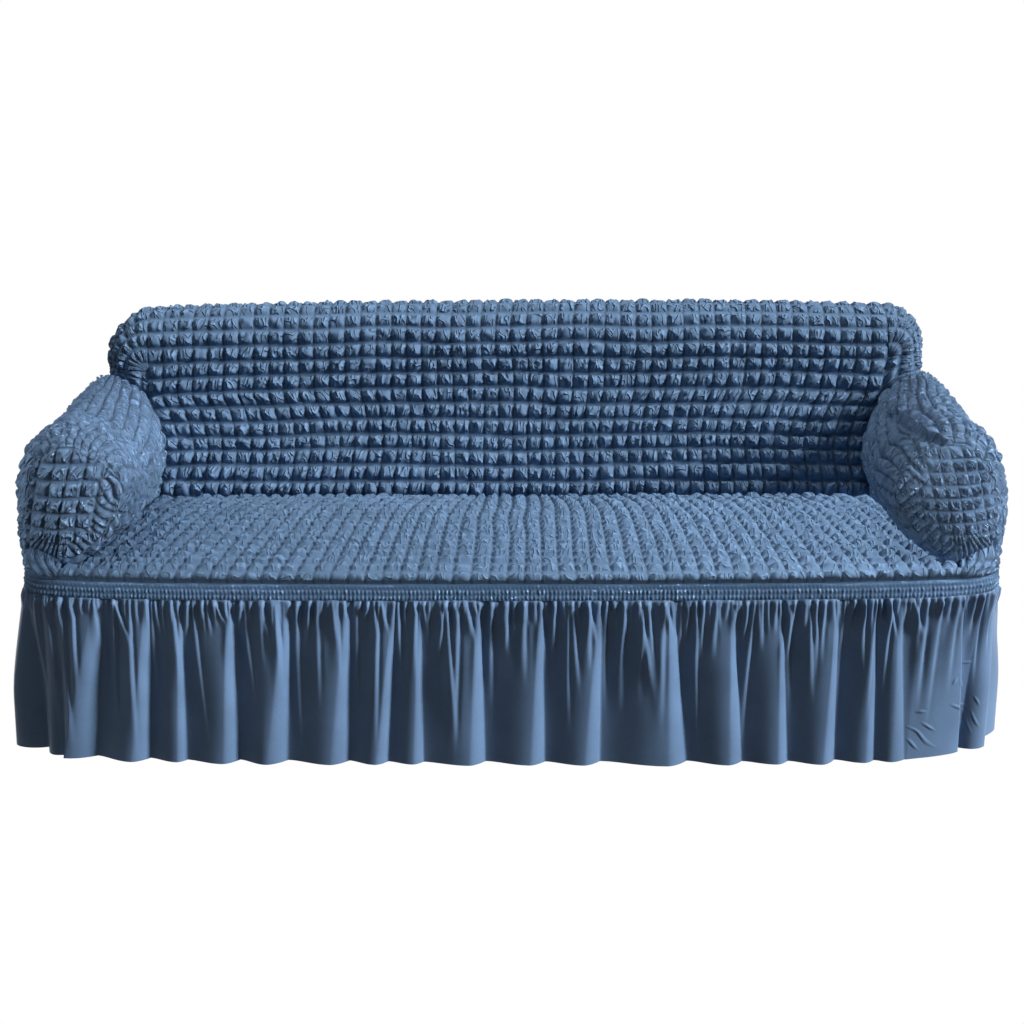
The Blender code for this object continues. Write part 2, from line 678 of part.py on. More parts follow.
def band_places():
    """Places round the waist, closer together at its corners."""
    fine = steps(0, 1, 240)
    run = np.diff(waist(fine, 0), axis=0)
    turn = np.abs(np.gradient(np.unwrap(np.arctan2(run[:, 1], run[:, 0]))))
    effort = np.cumsum(turn * BAND_CORNER_PULL + 1)
    share = (effort - effort[0]) / (effort[-1] - effort[0])
    places = np.interp(steps(0, 1, BAND_STEPS), share, fine[:-1])
    places[-1] = 1
    return np.concatenate([-places[:0:-1], places[:-1]])


def add_ring(name, points, rows, thickness, material, collection):
    shell = Shell()
    shell.add(name, ring_triangles(points, rows, len(points) // rows))
    corners = np.array(shell.points)
    normals = shell.normals(level_at=(corners[:, 2].min(), corners[:, 2].max()))
    sheet, faces = thicken(corners, shell.panels[name], normals, thickness, 0)
    add_object(name, sheet, faces, material, collection)


def main():
    for piece in list(bpy.data.objects):
        bpy.data.objects.remove(piece, do_unlink=True)
    collection = bpy.data.collections.new(OBJECT_NAME)
    bpy.context.scene.collection.children.link(collection)
    puckered = cloth_material("puckered_cloth", (0.10, 0.19, 0.38), 0.7)
    shell = body_shell()
    points = np.array(shell.points)
    normals = shell.normals(level_at=(WAIST_Z,))
    for name, triangles in shell.panels.items():
        sheet, faces = thicken(points, triangles, normals, BODY_CLOTH, SEAM_GAP)
        add_object(name, sheet, faces, puckered, collection)

    band = cloth_material("shirred_band", (0.11, 0.21, 0.40), 0.6)
    add_ring("waist_band", band_points(band_places()), len(BAND_PROFILE), BAND_CLOTH, band, collection)
    plain = cloth_material("plain_cloth", (0.09, 0.17, 0.33), 0.55)
    rows = skirt_points()
    add_ring("skirt", np.concatenate(rows), len(rows), SKIRT_CLOTH, plain, collection)


main()
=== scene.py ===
"""The looks of a stretch slipcover for a three-seat sofa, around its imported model.

Metres, +Z up, front towards -Y. Each piece of cloth is a thin sheet on its solid's shape, with its
puckers, seams, gathers and folds modelled, and with a procedural material.
"""

import math
import random

import bpy
import numpy as np
from mathutils import Matrix, Vector
from mathutils.kdtree import KDTree


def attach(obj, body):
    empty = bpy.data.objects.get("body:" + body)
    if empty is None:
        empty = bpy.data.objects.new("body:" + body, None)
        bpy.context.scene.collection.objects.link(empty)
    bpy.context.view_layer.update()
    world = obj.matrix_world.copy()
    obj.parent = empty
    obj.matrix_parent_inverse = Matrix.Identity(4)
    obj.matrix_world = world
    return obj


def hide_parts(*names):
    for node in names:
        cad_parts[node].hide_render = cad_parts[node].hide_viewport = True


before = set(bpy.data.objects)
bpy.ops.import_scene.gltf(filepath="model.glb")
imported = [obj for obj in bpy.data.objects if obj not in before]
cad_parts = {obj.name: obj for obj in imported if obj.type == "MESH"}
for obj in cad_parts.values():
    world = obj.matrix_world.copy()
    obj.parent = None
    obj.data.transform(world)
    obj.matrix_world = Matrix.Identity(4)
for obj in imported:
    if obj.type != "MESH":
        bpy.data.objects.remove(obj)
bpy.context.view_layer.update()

# The cover's shape, as in the solids. The waist is (name, x, y) round its right half, from the front.
SEAM_GAP = 0.0003
SKIRT_TOP = 0.363
BAND_BOTTOM = SKIRT_TOP + SEAM_GAP
BAND_TOP = 0.398
WAIST_Z = BAND_TOP + SEAM_GAP
SEAT_Z = 0.420
CROWN_DROP = 0.012
WAIST = (
    ("front_middle", 0.000, -0.458),
    ("front", 0.420, -0.456),
    ("front_outer", 0.800, -0.444),
    ("arm_inner", 0.925, -0.430),
    ("front_corner", 0.998, -0.400),
    ("side_front", 1.028, -0.310),
    ("side_middle", 1.038, 0.000),
    ("side_rear", 1.034, 0.310),
    ("rear_corner", 1.014, 0.428),
    ("rear_outer", 0.950, 0.448),
    ("rear", 0.500, 0.454),
    ("rear_middle", 0.000, 0.456),
)
# The right arm: sections from the front to the back, each with one point for each of these lines
ARM_LINES = ("base", "under", "bulge", "inner_top", "crest", "shoulder", "side", "foot")
ARM_SECTIONS = (
    ((0.925, -0.395, SEAT_Z), (0.862, -0.400, 0.462), (0.787, -0.402, 0.560), (0.806, -0.400, 0.632),
     (0.892, -0.397, 0.676), (0.968, -0.392, 0.622), (1.000, -0.388, 0.455), (0.998, -0.400, WAIST_Z)),
    ((0.922, -0.362, SEAT_Z), (0.855, -0.370, 0.462), (0.775, -0.370, 0.565), (0.800, -0.366, 0.650),
     (0.900, -0.358, 0.696), (0.990, -0.345, 0.640), (1.028, -0.335, 0.480), (1.020, -0.350, WAIST_Z)),
    ((0.908, -0.240, SEAT_Z), (0.850, -0.240, 0.460), (0.785, -0.240, 0.560), (0.815, -0.235, 0.650),
     (0.912, -0.220, 0.704), (1.010, -0.200, 0.645), (1.050, -0.190, 0.500), (1.034, -0.200, WAIST_Z)),
    ((0.888, -0.050, SEAT_Z), (0.850, -0.050, 0.460), (0.812, -0.045, 0.545), (0.840, -0.035, 0.645),
     (0.945, 0.000, 0.708), (1.025, 0.060, 0.660), (1.048, 0.100, 0.550), (1.038, 0.080, WAIST_Z)),
    ((0.862, 0.135, SEAT_Z), (0.856, 0.150, 0.468), (0.849, 0.170, 0.530), (0.893, 0.205, 0.648),
     (0.985, 0.235, 0.702), (1.014, 0.325, 0.690), (1.020, 0.436, 0.655), (1.014, 0.428, WAIST_Z)),
)
BACK_PROFILE = (
    ("crease", 0.135, SEAT_Z),
    ("low", 0.160, 0.500),
    ("middle", 0.184, 0.590),
    ("high", 0.202, 0.665),
    ("dart", 0.213, 0.715),
    ("upper", 0.226, 0.785),
    ("brow", 0.254, 0.840),
    ("apex", 0.304, 0.866),
    ("behind", 0.350, 0.857),
    ("rear_turn", 0.388, 0.836),
    ("rear_seam", 0.410, 0.802),
)
DARTS = {
    -1: {"x": 0.888, "z": 0.715, "reach": 1.00},
    1: {"x": 0.905, "z": 0.745, "reach": 0.84},
}
# The roll's section where it turns round an end's corner and beyond: (distance from the dart, y)
END_CORNER = (
    (0.000, 0.213), (0.072, 0.228), (0.108, 0.262), (0.127, 0.306), (0.126, 0.350), (0.117, 0.390),
    (0.100, 0.414),
)
END_SIDE = (
    (0.000, 0.213), (0.066, 0.228), (0.100, 0.262), (0.120, 0.306), (0.128, 0.352), (0.131, 0.396),
    (0.130, 0.430),
)
SEAT_PROFILE = (
    ("crease", 0.135, SEAT_Z),
    ("rear", 0.050, 0.430),
    ("middle", -0.120, 0.434),
    ("front", -0.300, 0.433),
    ("edge", -0.420, 0.425),
    ("lip", -0.462, 0.409),
    ("waist", -0.458, WAIST_Z),
)
SEAT_LIP_AT_ARM = (0.925, -0.430, 0.412)
STRIP_PUFF = 0.012
UNDER_FRONT_BOW = 0.006
FRONT_PUFF = 0.030
FRONT_MIDDLE = (0.897, 0.550)
FRONT_CURVE_SHARE = 0.8  # of an arm front's edge, from its start
REAR_PUFF = 0.008
REAR_CORNER_SHARE = 0.08
BAND_PROFILE = (
    ("top", BAND_TOP, 0.0000),
    ("strip", 0.3925, 0.0020),
    ("upper_stitch", 0.3870, -0.0005),
    ("upper_row", 0.3815, 0.0030),
    ("lower_stitch", 0.3755, 0.0000),
    ("lower_row", 0.3695, 0.0030),
    ("bottom", BAND_BOTTOM, 0.0000),
)
# Each fold: (place of its valley under the band, and at the hem, width of its steep side, depth)
FRONT_FOLDS = (
    (-1.015, -1.022, 0.034, 0.056), (-0.935, -0.950, 0.020, 0.002), (-0.834, -0.884, 0.064, 0.018),
    (-0.733, -0.764, 0.036, 0.016), (-0.667, -0.682, 0.020, 0.010), (-0.564, -0.570, 0.032, 0.016),
    (-0.443, -0.468, 0.042, 0.017), (-0.321, -0.338, 0.038, 0.016), (-0.227, -0.255, 0.026, 0.012),
    (-0.175, -0.180, 0.022, 0.010), (-0.054, -0.049, 0.034, 0.016), (0.074, 0.077, 0.032, 0.014),
    (0.194, 0.193, 0.034, 0.015), (0.340, 0.376, 0.042, 0.019), (0.461, 0.491, 0.030, 0.014),
    (0.558, 0.587, 0.024, 0.012), (0.674, 0.686, 0.030, 0.017), (0.752, 0.769, 0.022, 0.009),
    (0.803, 0.835, 0.030, 0.008), (0.935, 0.976, 0.014, 0.010), (1.045, 1.070, 0.030, 0.022),
    (1.120, 1.160, 0.030, 0.040),
)
HIDDEN_FOLD_SPACING = (0.085, 0.130)
HIDDEN_FOLD_WIDTH = (0.024, 0.040)
HIDDEN_FOLD_DEPTH = (0.012, 0.018)
# How far the hem stands out of the waist: (name, place along the waist, reach)
HEM_REACH = (
    ("rear_left", -2.00, 0.000),
    ("side_left", -1.86, 0.035),
    ("corner_left", -1.08, 0.035),
    ("front_left", -0.96, 0.000),
    ("front_right", 0.84, 0.000),
    ("corner_right", 0.98, -0.032),
    ("past_corner_right", 1.08, 0.010),
    ("side_right", 1.20, 0.035),
    ("side_rear_right", 1.86, 0.035),
    ("rear_right", 2.00, 0.000),
)
FOLD_GAIN = 1.4  # how much deeper than in the solid all but the skirt's deepest folds are
DEEPEST = 0.020
KICK_SHARE = 0.45
KICK_DROP = 0.12
# Shares of a fold's width and depth under the band, and the drop at which it is fully deep, the last
# two for most folds and for the deepest
GATHERED_WIDTH = 0.30
GATHERED_DEPTH = (0.40, 0.12)
FULL_DEPTH_DROP = (0.45, 0.70)

# Puckers: the cloth is a grid of cells, each of which stands out between its stitch lines
BACK_COLUMNS = 48
BACK_ROWS = 16.8
DART_ROWS = {-1: 8.6, 1: 9.3}  # the row of cells at which each end's corner starts to turn
FAN_COLUMNS = 5
STRIP_COLUMNS = 2.4
SEAT_COLUMNS = 52
SEAT_ROWS = 17
SEAT_STRIP_COLUMNS = 3.5
ARM_STRIPS = 24
ARM_ROWS = 19
REAR_COLUMNS = 56
REAR_ROWS = 10
ARM_LEAN = {-1: 3.3, 1: 1.0}  # how many strips the inner strips lean by, over the first rows
ARM_LEAN_ROWS = 6.0
ARM_PLEATS = {-1: 1.0, 1: 0.25}  # how strongly pleats slant down from each arm's front to the seat
PLEAT_PITCH = 0.018
FRONT_PITCH = {-1: 0.034, 1: 0.026}
CELL = 0.035  # the size of a cell of the cloth that isn't stretched
EDGE_BUNCHING = 0.045  # how much closer a cell's grid lines stand near its edges
SEAT_LEAN = 0.05  # of the seat's half width, by which its columns are drawn inwards at the crease
SEAT_LEAN_REACH = 0.22

# How each panel puckers: (height, how far its valleys lie in, flat share between columns, and
# between rows, how strongly its rows show, height of its crumples, crumples across and down a cell)
STYLES = {
    "back": (0.0135, 0.0055, 0.02, 0.22, 1.00, 0.0050, 2.6, 1.4),
    "seat": (0.0110, 0.0040, 0.05, 0.32, 1.00, 0.0036, 2.0, 1.6),
    "strip": (0.0120, 0.0050, 0.05, 0.10, 0.30, 0.0040, 1.2, 2.4),
    "arm": (0.0115, 0.0060, 0.05, 0.16, 0.45, 0.0035, 1.1, 3.0),
    "front": (0.0105, 0.0050, 0.05, 0.16, 1.00, 0.0045, 2.4, 1.8),
    "rear": (0.0130, 0.0050, 0.03, 0.20, 1.00, 0.0040, 2.0, 1.4),
}


def spline_weights(knots, places):
    """How much each knot's value counts at each place, in the natural cubic spline through all knots."""
    knots = np.asarray(knots, float)
    places = np.atleast_1d(np.asarray(places, float))
    count = len(knots)
    step = np.diff(knots)
    left = np.eye(count)
    right = np.zeros((count, count))
    for i in range(1, count - 1):
        left[i, i - 1 : i + 2] = step[i - 1], 2 * (step[i - 1] + step[i]), step[i]
        right[i, i - 1 : i + 2] = 6 / step[i - 1], -6 / step[i - 1] - 6 / step[i], 6 / step[i]
    bend = np.linalg.solve(left, right)
    span = np.clip(np.searchsorted(knots, places, side="right") - 1, 0, count - 2)
    after = (places - knots[span]) / step[span]
    before = 1 - after
    scale = step[span] ** 2 / 6
    weights = ((before**3 - before) * scale)[:, None] * bend[span]
    weights += ((after**3 - after) * scale)[:, None] * bend[span + 1]
    rows = np.arange(len(places))
    weights[rows, span] += before
    weights[rows, span + 1] += after
    return weights


def chord_knots(points):
    """Distances along a row of points, from 0 to 1."""
    steps = np.linalg.norm(np.diff(np.asarray(points, float), axis=0), axis=1)
    return np.concatenate([[0], np.cumsum(steps)]) / steps.sum()


def between(a, b, share):
    return a + (b - a) * share


def mix(a, b, share):
    """Points between rows of points a and b, each at its own share of the way."""
    return between(a, b, share[:, None])


def smooth(share):
    share = np.clip(share, 0, 1)
    return share * share * (3 - 2 * share)


# Waist: places run from -1 (middle of the rear, by way of -X) through 0 (middle of the front) to 1
WAIST_HALF = np.array([row[1:] for row in WAIST])
HALF_KNOTS = chord_knots(WAIST_HALF)
WAIST_PLACE = dict(zip([row[0] for row in WAIST], HALF_KNOTS))
WAIST_KNOTS = np.concatenate([-HALF_KNOTS[:0:-1], HALF_KNOTS])
WAIST_POINTS = np.concatenate([WAIST_HALF[:0:-1] * (-1, 1), WAIST_HALF])
HALF_LENGTH = np.linalg.norm(np.diff(WAIST_HALF, axis=0), axis=1).sum()


def waist(place, z):
    xy = spline_weights(WAIST_KNOTS, place) @ WAIST_POINTS
    return np.column_stack([xy, np.full(len(xy), z)])


def outward_of(places):
    """Unit vectors that point out of the waist, seen from above."""
    reach = 1e-4
    run = waist(places + reach, 0) - waist(places - reach, 0)
    out = np.column_stack([run[:, 1], -run[:, 0], run[:, 2]])
    return out / np.linalg.norm(out, axis=1)[:, None]


# Arms: along runs from the front seam, 0, to the back, 1; around runs from the seat, 0, to the waist, 1
ARM = np.array(ARM_SECTIONS)
ARM_ALONG = np.mean([chord_knots(ARM[:, i]) for i in range(len(ARM_LINES))], axis=0)
ARM_AROUND = np.mean([chord_knots(section) for section in ARM], axis=0)
ARM_PLACE = dict(zip(ARM_LINES, ARM_AROUND))


def arm(side, along, around):
    weights_along = spline_weights(ARM_ALONG, along)
    weights_around = spline_weights(ARM_AROUND, around)
    points = np.einsum("ni,nj,ijk->nk", weights_along, weights_around, ARM)
    side_length = WAIST_PLACE["rear_corner"] - WAIST_PLACE["front_corner"]
    foot = waist(WAIST_PLACE["front_corner"] + side_length * along, WAIST_Z)
    loose_foot = np.einsum("ni,ik->nk", weights_along, ARM[:, -1])
    low = np.clip((around - ARM_PLACE["side"]) / (1 - ARM_PLACE["side"]), 0, 1)
    points += (foot - loose_foot) * (low**2)[:, None]
    return points * (side, 1, 1)


def arm_rear(side, around):
    return arm(side, np.ones(len(around)), around)


# Back: up runs from the seat crease, 0, to the rear seam, 1
BACK = np.array([row[1:] for row in BACK_PROFILE])
BACK_KNOTS = chord_knots(BACK)
BACK_PLACE = dict(zip([row[0] for row in BACK_PROFILE], BACK_KNOTS))
DART = list(BACK_PLACE).index("dart")
DART_Y, DART_Z = BACK[DART]
APEX_Z = BACK[list(BACK_PLACE).index("apex"), 1]
ROLL_KNOTS = (BACK_KNOTS[DART:] - BACK_KNOTS[DART]) / (1 - BACK_KNOTS[DART])


def dart(side):
    return np.array([side * DARTS[side]["x"], DART_Y, DARTS[side]["z"]])


def back_end(side, up):
    """The end of the back's face: up the crease with the arm, up the dart, then over the roll."""
    top_of_crease = BACK_PLACE["high"]
    top_of_dart = BACK_PLACE["dart"]
    around = np.clip(up / top_of_crease, 0, 1) * ARM_PLACE["inner_top"]
    crease = arm_rear(side, around)
    share = np.clip((up - top_of_crease) / (top_of_dart - top_of_crease), 0, 1)
    points = mix(crease, dart(side), share)
    y_z = spline_weights(BACK_KNOTS, np.maximum(up, top_of_dart)) @ BACK
    rise = np.clip((y_z[:, 1] - DART_Z) / (APEX_Z - DART_Z), 0, 1)
    lift = (DARTS[side]["z"] - DART_Z) * (1 - rise)
    roll = np.column_stack([np.full(len(up), side * DARTS[side]["x"]), y_z])
    roll[:, 2] += lift - CROWN_DROP * rise
    behind = np.maximum(up, top_of_dart) > BACK_PLACE["apex"]
    roll[behind, 2] = y_z[behind, 1] - CROWN_DROP
    return np.where((up > top_of_dart)[:, None], roll, points)


def spread(across, left_end, right_end, y_z, power):
    """Points between two ends; across runs from -1 to 1, and y_z is the profile in the middle."""
    ends = np.where((across < 0)[:, None], left_end, right_end)
    points = np.column_stack([np.abs(across) * ends[:, 0], np.broadcast_to(y_z, (len(across), 2))])
    points[:, 1:] += (ends[:, 1:] - y_z) * (np.abs(across) ** power)[:, None]
    return points


def back(across, up):
    """Points on the back's face and top roll."""
    return spread(across, back_end(-1, up), back_end(1, up), spline_weights(BACK_KNOTS, up) @ BACK, 3)


def end_fan(side, turn, over):
    """The roll turned round the end's upper corner; turn runs from 0, up, to 1, sideways."""
    up = BACK_PLACE["dart"] + over * (1 - BACK_PLACE["dart"])
    first = back_end(side, up)
    rolled = spline_weights(ROLL_KNOTS, over)
    reach = DARTS[side]["reach"]
    corner = rolled @ (np.array(END_CORNER) * (reach, 1))
    far = rolled @ (np.array(END_SIDE) * (reach, 1))
    start = np.column_stack([first[:, 2] - DARTS[side]["z"], first[:, 1]])
    a = (2 * (turn - 0.5) * (turn - 1))[:, None]
    b = (4 * turn * (1 - turn))[:, None]
    c = (2 * turn * (turn - 0.5))[:, None]
    distance, y = (a * start + b * corner + c * far).T
    angle = turn * math.pi / 2
    x = side * (DARTS[side]["x"] + distance * np.sin(angle))
    return np.column_stack([x, y, DARTS[side]["z"] + distance * np.cos(angle)])


def end_strip(side, down, over):
    """The short strip from the turned roll down to the arm's top seam."""
    upper = end_fan(side, np.ones(len(over)), over)
    around = ARM_PLACE["inner_top"] + over * (ARM_PLACE["side"] - ARM_PLACE["inner_top"])
    return mix(upper, arm_rear(side, around), down)


# Seat: forward runs from the back crease, 0, to the waist, 1
SEAT = np.array([row[1:] for row in SEAT_PROFILE])
SEAT_KNOTS = chord_knots(SEAT)
SEAT_PLACE = dict(zip([row[0] for row in SEAT_PROFILE], SEAT_KNOTS))
SEAT_LENGTH = np.linalg.norm(np.diff(SEAT, axis=0), axis=1).sum()


def seat_end(side, forward):
    """The end of the seat: along the arm's base, then down to the waist beside the strip."""
    edge = SEAT_PLACE["edge"]
    along = 1 - np.clip(forward / edge, 0, 1)
    base = arm(side, along, np.zeros(len(forward)))
    corner = ARM[0, 0] * (side, 1, 1)
    foot = waist([side * WAIST_PLACE["arm_inner"]], WAIST_Z)[0]
    lip = np.array(SEAT_LIP_AT_ARM) * (side, 1, 1)
    knots = (edge, SEAT_PLACE["lip"], 1)
    front = spline_weights(knots, np.maximum(forward, edge)) @ np.array([corner, lip, foot])
    return np.where((forward > edge)[:, None], front, base)


def seat(across, forward):
    profile = spline_weights(SEAT_KNOTS, forward) @ SEAT
    points = spread(across, seat_end(-1, forward), seat_end(1, forward), profile, 2)
    last = np.ones(len(across))
    loose_foot = spread(across, seat_end(-1, last), seat_end(1, last), SEAT[-1], 2)
    foot = waist(across * WAIST_PLACE["arm_inner"], WAIST_Z)
    fall = np.clip((forward - SEAT_PLACE["edge"]) / (1 - SEAT_PLACE["edge"]), 0, 1)
    return points + (foot - loose_foot) * (fall**2)[:, None]


def under_front(side, outward):
    """The lower edge of an arm front, from its inner to its outer corner."""
    inner, outer = arm(side, np.zeros(2), np.array([0, ARM_PLACE["side"]]))
    bow = UNDER_FRONT_BOW * np.sin(outward * math.pi)
    return mix(inner, outer, outward) + np.outer(bow, (0, -1, 1))


def seat_strip(side, outward, down):
    """The strip of seat cloth that runs under an arm front, bent at both ends to meet its neighbours."""
    inner_place = WAIST_PLACE["arm_inner"]
    outer_place = WAIST_PLACE["front_corner"]

    def loose(share):
        foot = waist(side * (inner_place + share * (outer_place - inner_place)), WAIST_Z)
        points = mix(under_front(side, share), foot, down)
        points[:, 1] -= STRIP_PUFF * np.sin(down * math.pi)
        return points

    edge = SEAT_PLACE["edge"]
    inner = seat_end(side, edge + down * (1 - edge))
    outer = arm(side, np.zeros(len(down)), ARM_PLACE["side"] + down * (1 - ARM_PLACE["side"]))
    points = loose(outward)
    points += (inner - loose(np.zeros(len(down)))) * (1 - outward)[:, None]
    return points + (outer - loose(np.ones(len(down)))) * outward[:, None]


def front_outline(side, share):
    """The edge of an arm front: round its curved seam, then back along its lower edge."""
    curved = np.clip(share / FRONT_CURVE_SHARE, 0, 1) * ARM_PLACE["side"]
    lower = under_front(side, np.clip((1 - share) / (1 - FRONT_CURVE_SHARE), 0, 1))
    return np.where((share > FRONT_CURVE_SHARE)[:, None], lower, arm(side, np.zeros(len(share)), curved))


def arm_front(side, share, inward):
    """Points on an arm front, from its edge to its middle, standing out towards the middle."""
    edge = front_outline(side, share)
    whole = front_outline(side, np.linspace(0, 1, 41))
    middle = np.array([side * FRONT_MIDDLE[0], whole[:, 1].mean() - FRONT_PUFF, FRONT_MIDDLE[1]])
    points = mix(edge, middle, inward)
    points[:, 1] = edge[:, 1] + (middle[1] - edge[:, 1]) * np.sin(inward * math.pi / 2)
    return points


def steps(start, end, count):
    return np.linspace(start, end, count + 1)


def rear_top():
    """The top edge of the outside back: up one end, along the roll and down the other end."""
    ends = {}
    for side in (-1, 1):
        strip = end_strip(side, steps(1, 0, 12), np.ones(13))
        fan = end_fan(side, steps(1, 0, 24), np.ones(25))
        ends[side] = np.concatenate([strip, fan[1:]])
    middle = back(steps(-1, 1, 200), np.ones(201))
    return np.concatenate([ends[-1], middle[1:-1], ends[1][::-1]])


REAR_TOP = rear_top()
REAR_TOP_SHARE = chord_knots(REAR_TOP)


def outside_back(share, level):
    """Points on the outside back; share runs from -X to +X, level from the top edge down to the waist."""
    top = np.column_stack([np.interp(share, REAR_TOP_SHARE, REAR_TOP[:, i]) for i in range(3)])
    corner = WAIST_PLACE["rear_corner"]
    place = -corner - share * 2 * (1 - corner)
    place = np.where(place < -1, place + 2, place)
    points = mix(top, waist(place, WAIST_Z), level)
    puff = REAR_PUFF * np.sin(share * math.pi).clip(0) ** 0.5
    points[:, 1] += puff * np.sin(level * math.pi)
    around = ARM_PLACE["side"] + level * (1 - ARM_PLACE["side"])
    for side, from_end, end_top in ((-1, share, REAR_TOP[0]), (1, 1 - share, REAR_TOP[-1])):
        near = np.clip(1 - from_end / REAR_CORNER_SHARE, 0, 1)
        loose = mix(end_top, waist(np.full(len(share), side * corner), WAIST_Z), level)
        points += (arm_rear(side, around) - loose) * near[:, None]
    return points


# The seam that stands up along the right arm and round its front, as (along, around), and the nicks
# where each arm's seams are pinched together
RIDGE = (
    (0.55, 0.400), (0.38, 0.415), (0.18, 0.420), (0.06, 0.440), (0.01, 0.490), (0.02, 0.560), (0.04, 0.630),
)
BELOW_RIDGE = 0.020
NICKS = {
    -1: ((0.010, 0.575), (0.015, 0.600), (0.020, 0.620)),
    1: ((0.040, 0.640), (0.042, 0.650), (0.045, 0.660)),
}
WAIST_DRAW = 0.004


def arm_seams(side):
    """The seams of an arm, as in all_seams."""
    fine = steps(0, 1, 400)
    start = np.zeros(401)
    inner_top, side_line = ARM_PLACE["inner_top"], ARM_PLACE["side"]
    over = inner_top + fine * (side_line - inner_top)
    foot = side_line + fine * (1 - side_line)
    dart_up = BACK_PLACE["high"] + fine * (BACK_PLACE["dart"] - BACK_PLACE["high"])
    rim = front_outline(side, fine * FRONT_CURVE_SHARE)
    inward = arm_front(side, fine * FRONT_CURVE_SHARE, np.full(401, 0.3)) - rim
    inward /= np.linalg.norm(inward, axis=1)[:, None]
    return [
        (arm(side, fine, start), (side * 0.008, 0, -0.015), 0.009, 0.004),
        (arm_rear(side, fine * inner_top), (side * 0.006, 0.009, -0.002), 0.010, 0.012),
        (arm_rear(side, over), (-side * 0.002, 0.007, -0.007), 0.010, 0.012),
        (back_end(side, dart_up), (side * 0.002, 0.008, -0.002), 0.010, 0.014),
        (rim, inward * 0.002 + (0, 0.001, 0), 0.003, 0.003),
        (under_front(side, fine), (0, 0.016, -0.002), 0.010, 0.006),
        (arm(side, *np.array(NICKS[side]).T), (-side * 0.010, 0.008, -0.009), 0.007, 0.006),
        (arm(side, start, foot), (0, 0, 0), 0.004, 0.006),
        (arm_rear(side, foot), (-side * 0.002, -0.002, 0), 0.005, 0.008),
    ]


def all_seams():
    """Where the cloth is drawn in: points, how far and where to, how far the draw reaches, and how far
    the puckers are flattened."""
    round_waist = steps(-1, 1, 1600)
    along, around = np.array(RIDGE).T
    fine = steps(0, 1, 400)
    share = chord_knots(arm(1, along, around))
    along, around = np.interp(fine, share, along), np.interp(fine, share, around)
    return [
        (back(steps(-1, 1, 500), np.zeros(501)), (0, 0.012, -0.010), 0.010, 0.012),
        (waist(round_waist, WAIST_Z), -WAIST_DRAW * outward_of(round_waist), 0.006, 0.006),
        (REAR_TOP, (0, -0.002, -0.001), 0.005, 0.008),
        *arm_seams(-1),
        *arm_seams(1),
        (arm(1, along, around), (-0.003, -0.006, 0.011), 0.0048, 0.012),
        (arm(1, along, around - BELOW_RIDGE), (0.003, 0.005, -0.008), 0.0070, 0.008),
    ]


SEAMS = all_seams()
FARTHEST_DRAW = 0.03


def near_seams(points):
    """How the seams draw each point in, and how much of its puckers they leave."""
    drawn = np.zeros_like(points)
    left = np.ones(len(points))
    for line, draw, reach, flat_reach in SEAMS:
        lowest, highest = line.min(axis=0) - FARTHEST_DRAW, line.max(axis=0) + FARTHEST_DRAW
        near = np.nonzero(((points > lowest) & (points < highest)).all(axis=1))[0]
        if len(near) == 0:
            continue
        tree = KDTree(len(line))
        for i, point in enumerate(line):
            tree.insert(point, i)
        tree.balance()
        found = [tree.find(points[i]) for i in near]
        nearest = np.array([row[1] for row in found])
        distance = np.array([row[2] for row in found])
        pull = np.exp(-((distance / reach) ** 2))
        drawn[near] += np.broadcast_to(draw, line.shape)[nearest] * pull[:, None]
        left[near] *= smooth(distance / flat_reach)
    return drawn, left


def cell_lines(start, end, per_cell):
    """Grid lines from start to end, in cells: each cell has as many, closer together near its edges."""
    share = np.arange(per_cell) / per_cell
    share = share - EDGE_BUNCHING * np.sin(2 * math.pi * share)
    places = (np.arange(math.floor(start), math.ceil(end))[:, None] + share).ravel()
    places = places[(places > start + 0.02) & (places < end - 0.02)]
    return np.concatenate([[start], places, [end]])


NOISE_SIZE = 256


def lumps(x, y, seed):
    """Smooth noise from -1 to 1, with a lump for about every unit."""
    table = np.random.default_rng(seed).random((NOISE_SIZE, NOISE_SIZE)) * 2 - 1
    column, row = np.floor(x).astype(int), np.floor(y).astype(int)
    right, up = smooth(x - column), smooth(y - row)

    def along_row(row):
        row = row % NOISE_SIZE
        return table[column % NOISE_SIZE, row] * (1 - right) + table[(column + 1) % NOISE_SIZE, row] * right

    return along_row(row) * (1 - up) + along_row(row + 1) * up


def crumples(u, v, across, down, seed):
    """Soft creased ridges that wander over the cells, from about -1 to 1."""
    bend = 0.6 * lumps(u * 1.3 + 5, v * 1.3, seed + 2)
    return np.clip(1 - 3.2 * np.abs(lumps(u * across + bend, v * down + bend, seed)), -0.8, 1)


